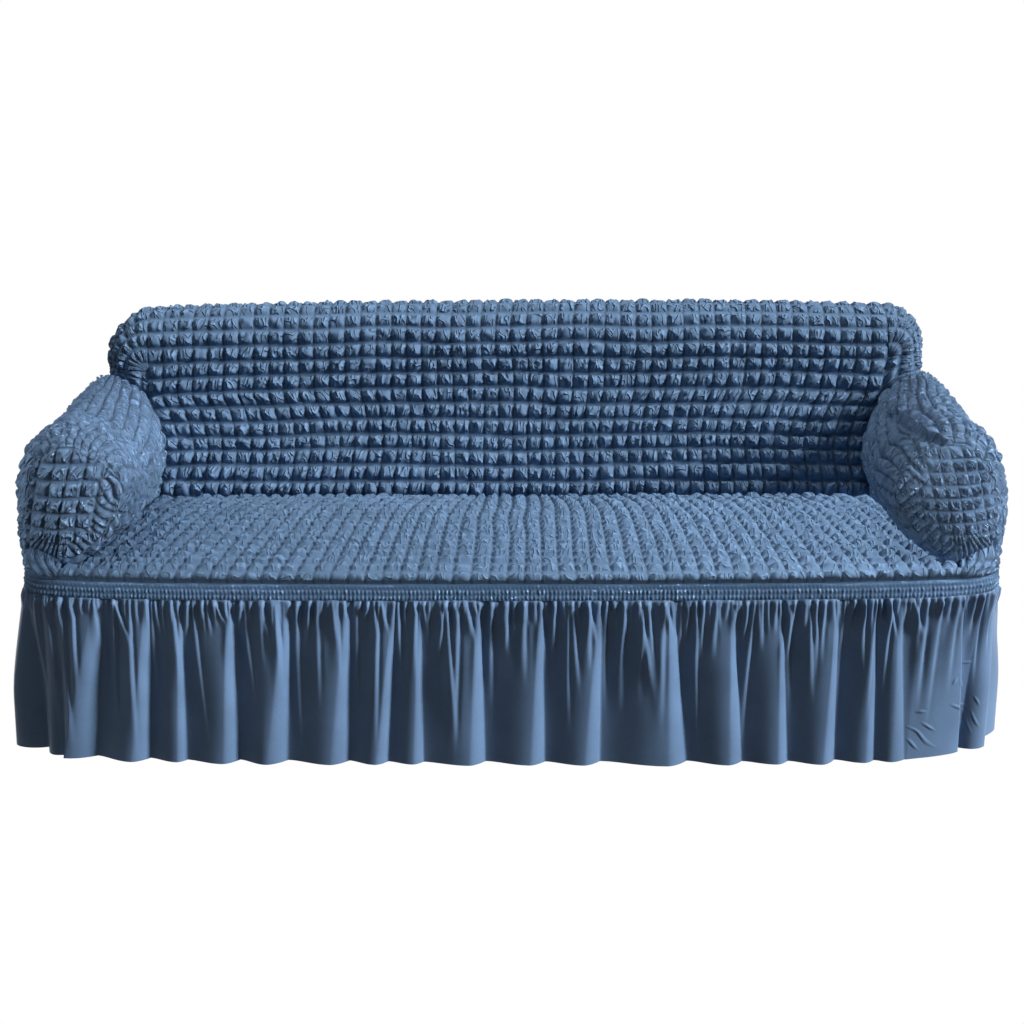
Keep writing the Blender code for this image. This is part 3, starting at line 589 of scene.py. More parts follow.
def pucker_height(u, v, style, seed, rows_show=None):
    """How far the cloth stands out at column u and row v of its cells, in metres: puckers, crumples."""
    height, valley, flat_u, flat_v, row_share, crumple, across, down = STYLES[style]
    if rows_show is None:
        rows_show = row_share
    column, row = np.floor(u).astype(int), np.floor(v).astype(int)
    dice = np.random.default_rng(seed).random((96, 48, 5))[(column + 20) % 96, (row + 8) % 48]
    dice = np.moveaxis(dice, -1, 0)
    x, y = 2 * (u - column) - 1, 2 * (v - row) - 1
    bulge_x = 1 - np.clip(np.abs(x) / (1 - flat_u), 0, 1) ** (3.0 + 1.4 * dice[0])
    bulge_y = 1 - np.clip(np.abs(y) / (1 - flat_v), 0, 1) ** (3.2 + 1.6 * dice[1])
    bulge = bulge_x * (1 - rows_show * (1 - bulge_y))
    # The top of each pucker leans to one side or another.
    bulge *= 1 + (dice[2] - 0.5) * 0.35 * x + (dice[3] - 0.5) * 0.35 * y
    tops = bulge * (0.86 + 0.28 * dice[4])
    folds = crumples(u, v, across, down, seed) * np.clip(bulge, 0, 1) ** 0.6
    return height * tops - valley, crumple * folds


def as_grid(surface, first, second):
    one, two = np.meshgrid(first, second, indexing="ij")
    points = surface(one.ravel(), two.ravel())
    return points.reshape(len(first), len(second), 3), one, two


def cell_size(points, first, second):
    """How long and how wide the cells are at each point of a grid, in metres."""
    long = np.linalg.norm(np.gradient(points, first, axis=0), axis=2)
    wide = np.linalg.norm(np.gradient(points, second, axis=1), axis=2)
    return long, wide


def across_quads(points, quads):
    """A normal of each quad, as long as its area is large."""
    a, b, c, d = (points[quads[:, i]] for i in range(4))
    return np.cross(c - a, d - b)


class Cloth:
    """Grids of points that make up one piece of cloth, welded where they meet."""

    def __init__(self):
        self.points = []
        self.heights = []
        self.cells = []
        self.quads = []
        self.count = 0

    def add(self, points, u, v, height, facing):
        """Adds a grid, with its cells' columns and rows and its puckers' heights."""
        rows, columns = points.shape[:2]
        index = np.arange(rows * columns).reshape(rows, columns) + self.count
        quads = np.stack([index[:-1, :-1], index[1:, :-1], index[1:, 1:], index[:-1, 1:]], -1).reshape(-1, 4)
        flat = points.reshape(-1, 3)
        if across_quads(flat, quads - self.count).sum(axis=0) @ np.array(facing) < 0:
            quads = quads[:, ::-1]
        self.points.append(flat)
        self.heights.append(height.ravel())
        self.cells.append(np.column_stack([u.ravel(), v.ravel()]))
        self.quads.append(quads)
        self.count += len(flat)

    def build(self, name, material):
        """A mesh object of the cloth with its puckers and drawn-in seams."""
        points = np.concatenate(self.points)
        heights = np.concatenate(self.heights)
        cells = np.concatenate(self.cells)
        quads = np.concatenate(self.quads)
        keys = np.round(points * 1e5).astype(np.int64)
        _, first, same = np.unique(keys, axis=0, return_index=True, return_inverse=True)
        same = same.ravel()
        welded = points[first]
        lift = heights[first]
        corners = same[quads]
        normals = np.zeros_like(welded)
        face = across_quads(welded, corners)
        for i in range(4):
            np.add.at(normals, corners[:, i], face)
        length = np.linalg.norm(normals, axis=1)
        normals /= np.maximum(length, 1e-12)[:, None]
        draw, left = near_seams(welded)
        moved = welded + normals * (lift * left)[:, None] + draw
        return add_mesh(name, moved, corners, cells[quads], material)


def add_mesh(name, points, quads, cells, material):
    """A mesh object from points and quads, whose collapsed quads become triangles or are left out."""
    repeated = (quads == np.roll(quads, -1, axis=1)).any(axis=1) | (quads[:, 0] == quads[:, 2])
    repeated |= quads[:, 1] == quads[:, 3]
    whole = quads[~repeated]
    odd_faces, odd_cells = [], []
    for quad, cell in zip(quads[repeated], cells[repeated]):
        kept = [i for i in range(4) if quad[i] != quad[i - 1]]
        if len({quad[i] for i in kept}) == 3 and len(kept) == 3:
            odd_faces.append([quad[i] for i in kept])
            odd_cells.append([cell[i] for i in kept])
    mesh = bpy.data.meshes.new(name)
    loops = np.concatenate([whole.ravel(), np.array(odd_faces, int).ravel()]).astype(np.int32)
    uv = np.concatenate([cells[~repeated].reshape(-1, 2), np.array(odd_cells, float).reshape(-1, 2)])
    sizes = np.concatenate([np.full(len(whole), 4), np.full(len(odd_faces), 3)]).astype(np.int32)
    mesh.vertices.add(len(points))
    mesh.vertices.foreach_set("co", points.astype(np.float32).ravel())
    mesh.loops.add(len(loops))
    mesh.loops.foreach_set("vertex_index", loops)
    mesh.polygons.add(len(sizes))
    mesh.polygons.foreach_set("loop_start", (np.cumsum(sizes) - sizes).astype(np.int32))
    layer = mesh.uv_layers.new(name="cells")
    mesh.update(calc_edges=True)
    layer.data.foreach_set("uv", uv.astype(np.float32).ravel())
    mesh.validate()
    mesh.shade_smooth()
    mesh.materials.append(material)
    piece = bpy.data.objects.new(name, mesh)
    bpy.context.scene.collection.objects.link(piece)
    return piece


def uneven(u, v, seed, amount):
    """A slight wander of the stitch lines, in cells."""
    return amount * lumps(u * 0.23 + 3, v * 0.29 + 7, seed)


def damp(height, long, wide):
    """Puckers are lower where their cells are squeezed or pulled out."""
    small = np.minimum(long, wide) / CELL
    large = np.maximum(long, wide) / CELL
    return height * np.clip(small, 0, 1) ** 0.7 * np.clip(1.25 / large, 0, 1)


def add_panel(cloth, surface, first, second, style, seed, facing, u_of=None, v_of=None, rows_show=None,
              share=None, extra=None):
    """Adds a grid of puckered cloth. From the grid's two coordinates, u_of and v_of give its columns and
    rows, rows_show how strongly its rows show, share how much of their height its puckers have, and extra
    what is added to it."""
    points, one, two = as_grid(surface, first, second)
    u = u_of(one, two) if u_of else one
    v = v_of(one, two) if v_of else two
    show = rows_show(one, two) if rows_show else None
    long, wide = cell_size(points, first, second)
    bulge, crumple = pucker_height(u, v, style, seed, show)
    height = damp(bulge, long, wide) + crumple * np.clip(np.minimum(long, wide) / CELL, 0, 1)
    if share:
        height = height * share(one, two)
    cloth.add(points, u, v, height + extra(one, two) if extra else height, facing)


def end_rows(side):
    """Rows of cells up an end of the back, evenly spaced along it, and where each of them lies."""
    up = np.union1d(steps(0, 1, 400), [BACK_PLACE["dart"]])
    run = chord_knots(back_end(side, up))
    turn = run[np.searchsorted(up, BACK_PLACE["dart"])]
    return np.interp(run, (0, turn, 1), (0, DART_ROWS[side], BACK_ROWS)), up


def make_inside_back(material):
    cloth = Cloth()
    half = BACK_COLUMNS / 2
    columns = cell_lines(-half, half, 10)
    rows = np.union1d(cell_lines(0, BACK_ROWS, 10), list(DART_ROWS.values()))
    end_up = {side: end_rows(side) for side in (-1, 1)}

    def level(side, v):
        return np.interp(v, *end_up[side])

    def lower_on_roll(u, v):
        return 1 - 0.45 * smooth((v - 9.5) / 3) + 0.3 * smooth((2.2 - v) / 1.5)

    def face(u, v):
        edge = 1 - (u / half) ** 2
        wander = uneven(u, v, 11, 0.16) * edge
        rise = uneven(u, v, 12, 0.14) * np.clip(v, 0, 1) * np.clip((BACK_ROWS - v) / 2, 0, 1)
        v = v + rise * edge
        ends = np.where(u < 0, level(-1, v), level(1, v))
        up = v / BACK_ROWS
        return back((u + wander) / half, up + (ends - up) * np.abs(u / half) ** 3)

    add_panel(cloth, face, columns, rows, "back", 21, (0, -1, 0.2), share=lower_on_roll)
    for side in (-1, 1):
        high_rows = rows[rows >= DART_ROWS[side]]

        def over(v):
            return (level(side, v) - BACK_PLACE["dart"]) / (1 - BACK_PLACE["dart"])

        def fan(turned, v):
            return end_fan(side, turned / FAN_COLUMNS, over(v))

        def strip(turned, v):
            return end_strip(side, turned / STRIP_COLUMNS, over(v))

        # On the left, the fan's first line belongs to the column after the face's last one.
        nudge = 1e-6 if side < 0 else 0
        add_panel(cloth, fan, cell_lines(0, FAN_COLUMNS, 10), high_rows, "back", 21, (side, 0, 1),
                  lambda turned, v: side * (half + turned) - nudge, share=lower_on_roll)
        add_panel(cloth, strip, cell_lines(0, STRIP_COLUMNS, 10), high_rows, "back", 21, (side, -0.5, 0),
                  lambda turned, v: side * (half + FAN_COLUMNS + turned), share=lower_on_roll)
    return cloth.build("puckered_inside_back", material)


def make_outside_back(material):
    cloth = Cloth()
    columns = cell_lines(0, REAR_COLUMNS, 8)
    rows = cell_lines(0, REAR_ROWS, 8)

    def face(u, v):
        return outside_back(u / REAR_COLUMNS, v / REAR_ROWS)

    add_panel(cloth, face, columns, rows, "rear", 31, (0, 1, 0))
    return cloth.build("puckered_outside_back", material)


def make_seat(material):
    cloth = Cloth()
    half = SEAT_COLUMNS / 2
    columns = cell_lines(-half, half, 10)
    edge_row = SEAT_PLACE["edge"] * SEAT_ROWS
    lean_rows = SEAT_LEAN_REACH / SEAT_LENGTH * SEAT_ROWS

    def face(u, v):
        across = u / half
        inner = smooth((np.abs(across) - 0.06) / 0.16)
        outer = smooth((1 - np.abs(across)) / 0.10)
        lean = np.clip(1 - v / lean_rows, 0, 1) ** 2 * SEAT_LEAN * inner * outer
        wander = uneven(u, v, 41, 0.16) * (1 - across**2) / half
        rise = uneven(u, v, 42, 0.12) * np.clip(v, 0, 1) * np.clip(SEAT_ROWS - v, 0, 1)
        return seat(across - np.sign(across) * lean + wander, (v + rise * (1 - across**2)) / SEAT_ROWS)

    def rows_show(u, v):
        return 0.45 + 0.55 * smooth((v - 1.5) / 4)

    def lower_at_lip(u, v):
        return 1 - 0.35 * smooth((v - edge_row - 0.2) / 1.0)

    low, high = cell_lines(0, edge_row, 10), cell_lines(edge_row, SEAT_ROWS, 10)
    for rows in (low, high):
        add_panel(cloth, face, columns, rows, "seat", 43, (0, 0, 1), rows_show=rows_show, share=lower_at_lip)
    for side in (-1, 1):

        def strip(outward, v):
            return seat_strip(side, outward / SEAT_STRIP_COLUMNS, (v - edge_row) / (SEAT_ROWS - edge_row))

        outward = cell_lines(0, SEAT_STRIP_COLUMNS, 11)
        add_panel(cloth, strip, outward, high, "strip", 43 + side, (0, -1, 0),
                  lambda outward, v: side * (half + outward + 1.3 * (v - edge_row)))
    return cloth.build("puckered_seat", material)


def pleat(phase):
    """A round ridge for each whole step of the phase, from 0 at its edges to 1 along its middle."""
    return 1 - ((phase % 1) * 2 - 1) ** 2


def arm_around(strip, along):
    """Where each strip of cells lies round an arm: evenly at the front, bunched on top at the rear."""
    front = strip / ARM_STRIPS
    top = ARM_PLACE["inner_top"]
    bunched = (0, top * 0.80, top + 0.03, top + 0.10, top + 0.16, ARM_PLACE["side"], 1)
    rear = np.interp(strip, (0, 6.0, 7.8, 10.0, 12.5, 18.3, ARM_STRIPS), bunched)
    return front + (rear - front) * along**1.5


def make_arm(side, name, material):
    cloth = Cloth()
    strips = cell_lines(0, ARM_STRIPS, 11)
    rows = cell_lines(0, ARM_ROWS, 10)

    def face(v, u):
        along = v / ARM_ROWS
        around = arm_around(u, along)
        wander = uneven(u, v, 51 + side, 0.012) * np.clip(u, 0, 1) * np.clip(ARM_STRIPS - u, 0, 1)
        return arm(side, along, around + wander)

    def rows_show(v, u):
        return 0.62 + 0.30 * smooth((u - 10) / 5)

    def leaning(v, u):
        # In front, the inner strips lean up towards the crest.
        inner = smooth((14 - u) / 6) * np.clip(u / 9, 0, 1)
        return u - ARM_LEAN[side] * smooth(1 - v / ARM_LEAN_ROWS) * inner

    def pleated(v, u):
        # Small pleats run down into the seam with the seat.
        phase = v * 1.6 + u * 0.4 + 0.4 * lumps(v * 2, u * 1.2, 57 + side)
        reach = 3.3 + 2.2 * smooth((4 - v) / 2)
        return 0.008 * pleat(phase) * smooth((reach - u) / 1.8) * smooth((14 - v) / 4)

    def slanting(v, u):
        return ARM_PLEATS[side] * smooth((8.5 - v) / 3) * smooth((11 - u) / 3) * smooth((u - 0.5) / 1.5)

    def share(v, u):
        return 1 - 0.65 * slanting(v, u)

    def extra(v, u):
        phase = 1.3 * v + 1.0 * u + 0.35 * lumps(v * 0.9, u * 0.9, 59 + side)
        return pleated(v, u) + 0.010 * (pleat(phase) - 0.3) * slanting(v, u)

    add_panel(cloth, face, rows, strips, "arm", 53 + side, (0, 0, 1), leaning, lambda v, u: v, rows_show,
              share=share, extra=extra)
    return cloth.build("puckered_arm_" + name, material)


def make_front(side, name, material):
    """An arm front: square puckers in the middle, pleats that run in from its seams."""
    cloth = Cloth()
    shares = steps(0, 1, 180)
    points, share, inward = as_grid(lambda a, b: arm_front(side, a, b), shares, steps(0, 1, 70))
    x, z = points[..., 0], points[..., 2]
    slant = 0.25 * side
    u = (x - side * FRONT_MIDDLE[0] + slant * (z - FRONT_MIDDLE[1])) / FRONT_PITCH[side] + 40.3
    v = (z - FRONT_MIDDLE[1]) / FRONT_PITCH[side] + 20.4
    bulge, crumple = pucker_height(u, v, "front", 61 + side)
    square = bulge * (FRONT_PITCH[side] / CELL) ** 0.7 + crumple
    if side > 0:
        square *= 0.40 + 0.60 * smooth((x - 0.865) / 0.06)
    inner = smooth((0.40 - np.minimum(share, 1 - share)) / 0.12)
    low = np.maximum(smooth((0.46 - share) / 0.12), smooth((share - 0.74) / 0.12))
    border = smooth(1 - (inward - 0.08) / (0.16 + 0.42 * inner)) * (0.2 + 0.8 * low)
    radial = share * 34 + 0.25 * lumps(share * 40, inward * 2, 65 + side)
    slanting = (-side * x * 0.81 + z * 0.59) / PLEAT_PITCH + 0.5 * lumps(x * 30, z * 30, 67 + side)
    where_slanting = smooth((0.36 - share) / 0.06) * smooth(share / 0.03)
    creased = between(pleat(radial), pleat(slanting), where_slanting)
    height = between(square, 0.0095 * creased - 0.0045, border)
    cloth.add(points, u, v, height, (0, -1, 0))
    return cloth.build(f"puckered_arm_{name}_front", material)


# Gathers of the skirt besides its main folds: (place under the band, place where it ends, how far
# down it ends as a share of the drop), along the waist from the middle of the front
FRONT_GATHERS = (
    (-0.918, -0.920, 0.95), (-0.806, -0.770, 0.30), (-0.647, -0.660, 0.25), (-0.618, -0.620, 0.12),
    (-0.593, -0.572, 0.15), (-0.538, -0.550, 0.20), (-0.494, -0.480, 0.30), (-0.470, -0.462, 0.35),
    (-0.420, -0.430, 0.12), (-0.397, -0.408, 0.20), (-0.375, -0.378, 0.10), (-0.352, -0.345, 0.25),
    (-0.297, -0.300, 0.08), (-0.278, -0.290, 0.13), (-0.253, -0.240, 0.20), (-0.163, -0.168, 0.06),
    (-0.124, -0.140, 0.45), (-0.103, -0.106, 0.06), (-0.080, -0.062, 0.25), (-0.021, -0.034, 0.20),
    (0.006, 0.003, 0.33), (0.043, 0.046, 0.15), (0.101, 0.099, 0.22), (0.138, 0.152, 0.55),
    (0.169, 0.186, 0.25), (0.222, 0.226, 0.08), (0.243, 0.238, 0.70), (0.274, 0.310, 0.60),
    (0.290, 0.312, 0.55), (0.325, 0.342, 0.20), (0.377, 0.368, 0.30), (0.404, 0.400, 0.40),
    (0.478, 0.482, 0.10), (0.494, 0.484, 0.30), (0.521, 0.523, 0.30), (0.589, 0.577, 0.40),
    (0.616, 0.632, 0.60), (0.632, 0.634, 0.50), (0.709, 0.701, 0.20), (0.729, 0.732, 0.15),
    (0.762, 0.764, 0.10), (0.781, 0.800, 0.25), (0.830, 0.860, 0.25), (0.863, 0.857, 0.70),
    (0.890, 0.893, 0.15), (0.937, 0.942, 0.30), (0.985, 0.995, 0.60), (1.010, 1.020, 0.40),
)
GATHER_WIDTH = (0.0042, 0.0085)  # of a gather's steep side, under the band and at its end
GATHER_DEPTH = 0.0062
# More gathers, strewn along the waist: (from, to, spacing, how far down as a share of the drop, how far
# one sways for each drop, and at any drop, size)
STREWN_GATHERS = (
    (-0.98, 1.00, (0.024, 0.046), (0.18, 1.00), 0.02, 0, (0.55, 0.95)),
    (1.06, 2 * HALF_LENGTH - 1.06, (0.030, 0.055), (0.15, 0.70), 0.03, 0, (0.70, 1.10)),
    (-HALF_LENGTH, HALF_LENGTH - 0.01, (0.013, 0.024), (0.08, 0.22), 0, 0.006, (0.45, 0.80)),
)


def wrapped(length):
    """A length along the waist, counted from the middle of the front."""
    return (length + HALF_LENGTH) % (2 * HALF_LENGTH) - HALF_LENGTH


def all_folds():
    """Every main fold round the skirt, in order along the waist."""
    dice = random.Random(7)
    folds = list(FRONT_FOLDS)
    place = FRONT_FOLDS[-1][1]
    last = FRONT_FOLDS[0][1] + 2 * HALF_LENGTH - 1.6 * HIDDEN_FOLD_SPACING[1]
    while place < last:
        place += dice.uniform(*HIDDEN_FOLD_SPACING)
        width = dice.uniform(*HIDDEN_FOLD_WIDTH)
        folds.append((place, place, width, dice.uniform(*HIDDEN_FOLD_DEPTH)))
    return np.array(folds)


def flare(length, drop):
    """How far the skirt stands out of the waist, at places along it and at a drop below the band."""
    reach = np.interp(wrapped(length), [row[1] for row in HEM_REACH], [row[2] for row in HEM_REACH])
    return reach * (KICK_SHARE * (1 - math.exp(-drop / KICK_DROP)) + (1 - KICK_SHARE) * drop)


def gather_shape(x):
    """A small fold: a rise to its crest at -1, a steep side down to its valley at 0, and a way back."""
    rise = smooth((x + 4) / 3)
    fall = 1 - 1.35 * np.clip(x + 1, 0, 1) ** 1.6
    back_up = -0.35 * (1 - smooth(x / 1.3))
    return np.where(x < -1, rise, np.where(x < 0, fall, back_up))


def all_gathers():
    """Every gather besides the main folds: (place under the band, at its end, how far down, size)."""
    dice = random.Random(17)
    rows = [(top, end, drop, 1.0) for top, end, drop in FRONT_GATHERS]
    for place, last, spacing, drops, sway_share, least_sway, sizes in STREWN_GATHERS:
        while place < last:
            drop = dice.uniform(*drops)
            sway = sway_share * drop + least_sway
            rows.append((place, place + dice.uniform(-sway, sway), drop, dice.uniform(*sizes)))
            place += dice.uniform(*spacing)
    return np.array(rows)


def gathers_at(length, drop, gathers):
    """The height of all gathers in one row of the skirt."""
    height = np.zeros(len(length))
    for top, end, reach, size in gathers:
        if drop > reach * 1.05:
            continue
        share = drop / reach
        width = between(*GATHER_WIDTH, min(1, drop / 0.3)) * (0.6 + 0.4 * size)
        away = wrapped(length - between(top, end, share))
        near = np.abs(away) < 4 * width
        fade = (1 - smooth((share - 0.35) / 0.70)) * (0.35 + 0.65 * min(1, drop / 0.02))
        height[near] += GATHER_DEPTH * size * fade * gather_shape(away[near] / width)
    return height


SKIRT_DROPS = np.concatenate([steps(0, 0.12, 12), steps(0.12, 0.40, 14)[1:], steps(0.40, 1, 18)[1:]])
FOLD_COLUMNS = ((38, 16), (14, 7))  # on a fold's gentle and steep sides, in front and elsewhere


def make_skirt(material):
    folds = all_folds()
    gathers = all_gathers()
    deepest = folds[:, 3] > DEEPEST
    rows, lengths = [], []
    for drop in SKIRT_DROPS:
        valley = between(folds[:, 0], folds[:, 1], drop)
        width = folds[:, 2] * between(GATHERED_WIDTH, 1, drop)
        opened = smooth(drop / np.where(deepest, FULL_DEPTH_DROP[1], FULL_DEPTH_DROP[0]))
        gathered = np.where(deepest, GATHERED_DEPTH[1], GATHERED_DEPTH[0])
        depth = folds[:, 3] * between(gathered, np.where(deepest, 1, FOLD_GAIN), opened)
        crest = valley - width
        last_valley = np.concatenate([[valley[-1] - 2 * HALF_LENGTH], valley[:-1]])
        last_depth = np.concatenate([depth[-1:], depth[:-1]])
        length, height = [], []
        for i in range(len(folds)):
            counts = FOLD_COLUMNS[0 if i < len(FRONT_FOLDS) else 1]
            gentle, steep = (np.arange(count) / count for count in counts)
            length.append(between(last_valley[i], crest[i], gentle))
            height.append(-last_depth[i] / 2 + (depth[i] + last_depth[i]) / 2 * smooth(gentle**0.85))
            length.append(crest[i] + width[i] * steep)
            height.append(depth[i] / 2 - depth[i] * steep**1.7)
        length = np.concatenate(length)
        height = np.concatenate(height) + flare(length, drop) + gathers_at(length, drop, gathers)
        z = SKIRT_TOP * (1 - drop)
        height += 0.0008 * lumps(length * 14 + 3, np.full(len(length), z * 9), 71)
        place = wrapped(length) / HALF_LENGTH
        rows.append(waist(place, z) + outward_of(place) * height[:, None])
        lengths.append(length)
    # The top edge is tucked up behind the band.
    tucked = rows[0] - outward_of(wrapped(lengths[0]) / HALF_LENGTH) * 0.005 + (0, 0, 0.003)
    rows, lengths = np.array([tucked, *rows]), np.array([lengths[0], *lengths])
    drops = np.concatenate([[-0.004], SKIRT_DROPS * SKIRT_TOP])
    return add_ring("gathered_skirt", rows, lengths, drops, material)


def add_ring(name, rows, lengths, drops, material):
    """A closed ring of cloth from its rows of points, with lengths and drops in metres for its weave."""
    count, columns = rows.shape[:2]
    index = np.arange(count * columns).reshape(count, columns)
    after = np.roll(index, -1, axis=1)
    quads = np.stack([index[:-1], index[1:], after[1:], after[:-1]], -1).reshape(-1, 4)
    cells = np.stack([lengths, np.repeat(drops[:, None], columns, 1)], -1)
    next_cells = np.roll(cells, -1, axis=1)
    next_cells[:, -1, 0] += 2 * HALF_LENGTH
    corner_cells = np.stack([cells[:-1], cells[1:], next_cells[1:], next_cells[:-1]], 2).reshape(-1, 4, 2)
    return add_mesh(name, rows.reshape(-1, 3), quads, corner_cells, material)


# The band's rows of puckers: (middle, half of their height, how far they stand out)
BAND_ROWS = ((0.3820, 0.0052, 0.0042), (0.3695, 0.0056, 0.0042))
BAND_PUCKER = 0.0082
BAND_PER_PUCKER = 4
BAND_LEVELS = (
    0.3980, 0.3962, 0.3930, 0.3900, 0.3872, 0.3850, 0.3820, 0.3790, 0.3758, 0.3725, 0.3695, 0.3665, 0.3645,
    0.3633,
)


def make_band(material):
    puckers = int(round(2 * HALF_LENGTH / BAND_PUCKER))
    count = puckers * BAND_PER_PUCKER
    index = np.arange(count) / BAND_PER_PUCKER
    wander = np.random.default_rng(81).random((puckers, 8))
    which = np.floor(index).astype(int)
    place = index / puckers * 2 - 1
    out = outward_of(place)
    heights = [row[1] for row in BAND_PROFILE][::-1]
    stands = [row[2] * 0.6 for row in BAND_PROFILE][::-1]
    rows = []
    for level in BAND_LEVELS:
        stand = np.full(count, np.interp(level, heights, stands))
        for i, (middle, half, high) in enumerate(BAND_ROWS):
            lean = (wander[which, 2 + i] - 0.5) * 0.5 * (level - middle) / half
            x = (index - which + lean) % 1
            bump = np.sin(x * math.pi) ** 1.2
            rise = max(0.0, 1 - ((level - middle) / half) ** 2)
            stand += high * rise * (0.35 + 0.9 * wander[which, i]) * (bump - 0.35)
        strip = smooth(1 - abs(level - 0.3925) / 0.006)
        stand += 0.0005 * strip * np.sin(index * math.pi * 2 + wander[which, 4])
        stand += 0.0010 * lumps(index * 0.09, np.full(count, level * 60), 83)
        if level == BAND_LEVELS[0]:
            stand -= WAIST_DRAW
        rows.append(waist(place, level) + out * stand[:, None])
    # The top edge is tucked up behind the cover's edge.
    rows = np.array([rows[0] - out * 0.004 + (0, 0, 0.004), *rows])
    lengths = np.tile(place * HALF_LENGTH, (len(rows), 1))
    drops = BAND_TOP - np.array([BAND_TOP + 0.006, *BAND_LEVELS])
    return add_ring("shirred_waist_band", rows, lengths, drops, material)


# The creases low on the skirt's right: middle x and z, degrees of fall to the right, half length
LOW_CREASES = (
    (0.850, 0.032, 36, 0.014), (0.866, 0.050, 42, 0.032), (0.880, 0.070, 34, 0.014),
    (0.949, 0.108, 30, 0.015), (0.951, 0.160, 75, 0.010), (0.986, 0.113, 58, 0.011),
    (0.971, 0.066, 64, 0.024), (0.989, 0.070, 57, 0.019), (0.933, 0.171, -70, 0.008),
    (0.862, 0.104, 0, 0.009), (0.955, 0.208, 4, 0.011),
)
LOW_CREASE_Y = -0.47
LOW_CREASE_SIZE = (1.7, 0.25, 0.0060)  # its width as a share of its half length, its depth and height
LOW_CREASE_SWAY = 0.008


class Nodes:
    """A short way to add and join a material's nodes."""

    def __init__(self, name):
        self.material = bpy.data.materials.new(name)
        self.material.use_nodes = True
        self.tree = self.material.node_tree
        self.shader = self.tree.nodes["Principled BSDF"]

    def fill(self, node, inputs):
        """Gives each input its value, or joins it to another node's output."""
        for key, value in inputs.items():
            if isinstance(value, bpy.types.NodeSocket):
                self.tree.links.new(value, node.inputs[key])
            else:
                node.inputs[key].default_value = value

    def add(self, kind, inputs, **settings):
        node = self.tree.nodes.new(kind)
        for key, value in settings.items():
            setattr(node, key, value)
        self.fill(node, inputs)
        return node

    def math(self, operation, a, b=0.5):
        return self.add("ShaderNodeMath", {0: a, 1: b}, operation=operation).outputs[0]

    def vectors(self, operation, inputs):
        return self.add("ShaderNodeVectorMath", inputs, operation=operation).outputs

    def noise(self, place, scale, detail, distortion=0.0):
        inputs = {"Vector": place, "Scale": scale, "Detail": detail, "Distortion": distortion}
        return self.add("ShaderNodeTexNoise", inputs).outputs

    def bump(self, height, distance, strength=1.0, **normal):
        inputs = {"Strength": strength, "Distance": distance, "Height": height, **normal}
        return self.add("ShaderNodeBump", inputs).outputs[0]

    def creases(self, place, scale, distortion, narrowness):
        """Lines that wander like the creases of crumpled cloth, from 0 between them to 1 on them."""
        scaled = self.vectors("MULTIPLY", {0: place, 1: scale})[0]
        noise = self.noise(scaled, 1.0, 0.0, distortion)["Fac"]
        away = self.math("ABSOLUTE", self.math("SUBTRACT", noise, 0.5))
        return self.math("MAXIMUM", self.math("SUBTRACT", 1.0, self.math("MULTIPLY", away, narrowness)), 0.0)

    def inside(self, place, gap, steepness):
        """0 in the gap on both sides of every whole number, 1 between the gaps."""
        away = self.math("ABSOLUTE", self.math("SUBTRACT", self.math("FRACT", place), 0.5))
        rise = self.math("MULTIPLY", self.math("SUBTRACT", 0.5 - gap, away), steepness)
        return self.math("MINIMUM", self.math("MAXIMUM", rise, 0.0), 1.0)

    def low_creases(self, place):
        """The short creases low on the skirt's right, from 0 beside them to 1 along their middles."""
        sway = self.vectors("SCALE", {0: self.noise(place, 22.0, 0.0)["Color"], "Scale": 2 * LOW_CREASE_SWAY})
        swayed = self.vectors("ADD", {0: place, 1: sway[0]})
        swayed = self.vectors("SUBTRACT", {0: swayed[0], 1: (LOW_CREASE_SWAY,) * 3})
        width, depth, high = LOW_CREASE_SIZE
        height = 0.0
        for x, z, fall, half in LOW_CREASES:
            inputs = {"Vector": swayed[0], "Location": (x, LOW_CREASE_Y, z),
                      "Rotation": (0, math.radians(fall), 0), "Scale": (width * half, depth, high)}
            near = self.add("ShaderNodeMapping", inputs, vector_type="TEXTURE").outputs[0]
            away = self.vectors("LENGTH", {0: near})["Value"]
            # From 1 in the middle down to 0
            fade = self.add("ShaderNodeMapRange", {0: away, 3: 1.0, 4: 0.0}, interpolation_type="SMOOTHSTEP")
            height = self.math("MAXIMUM", height, fade.outputs[0])
        return height


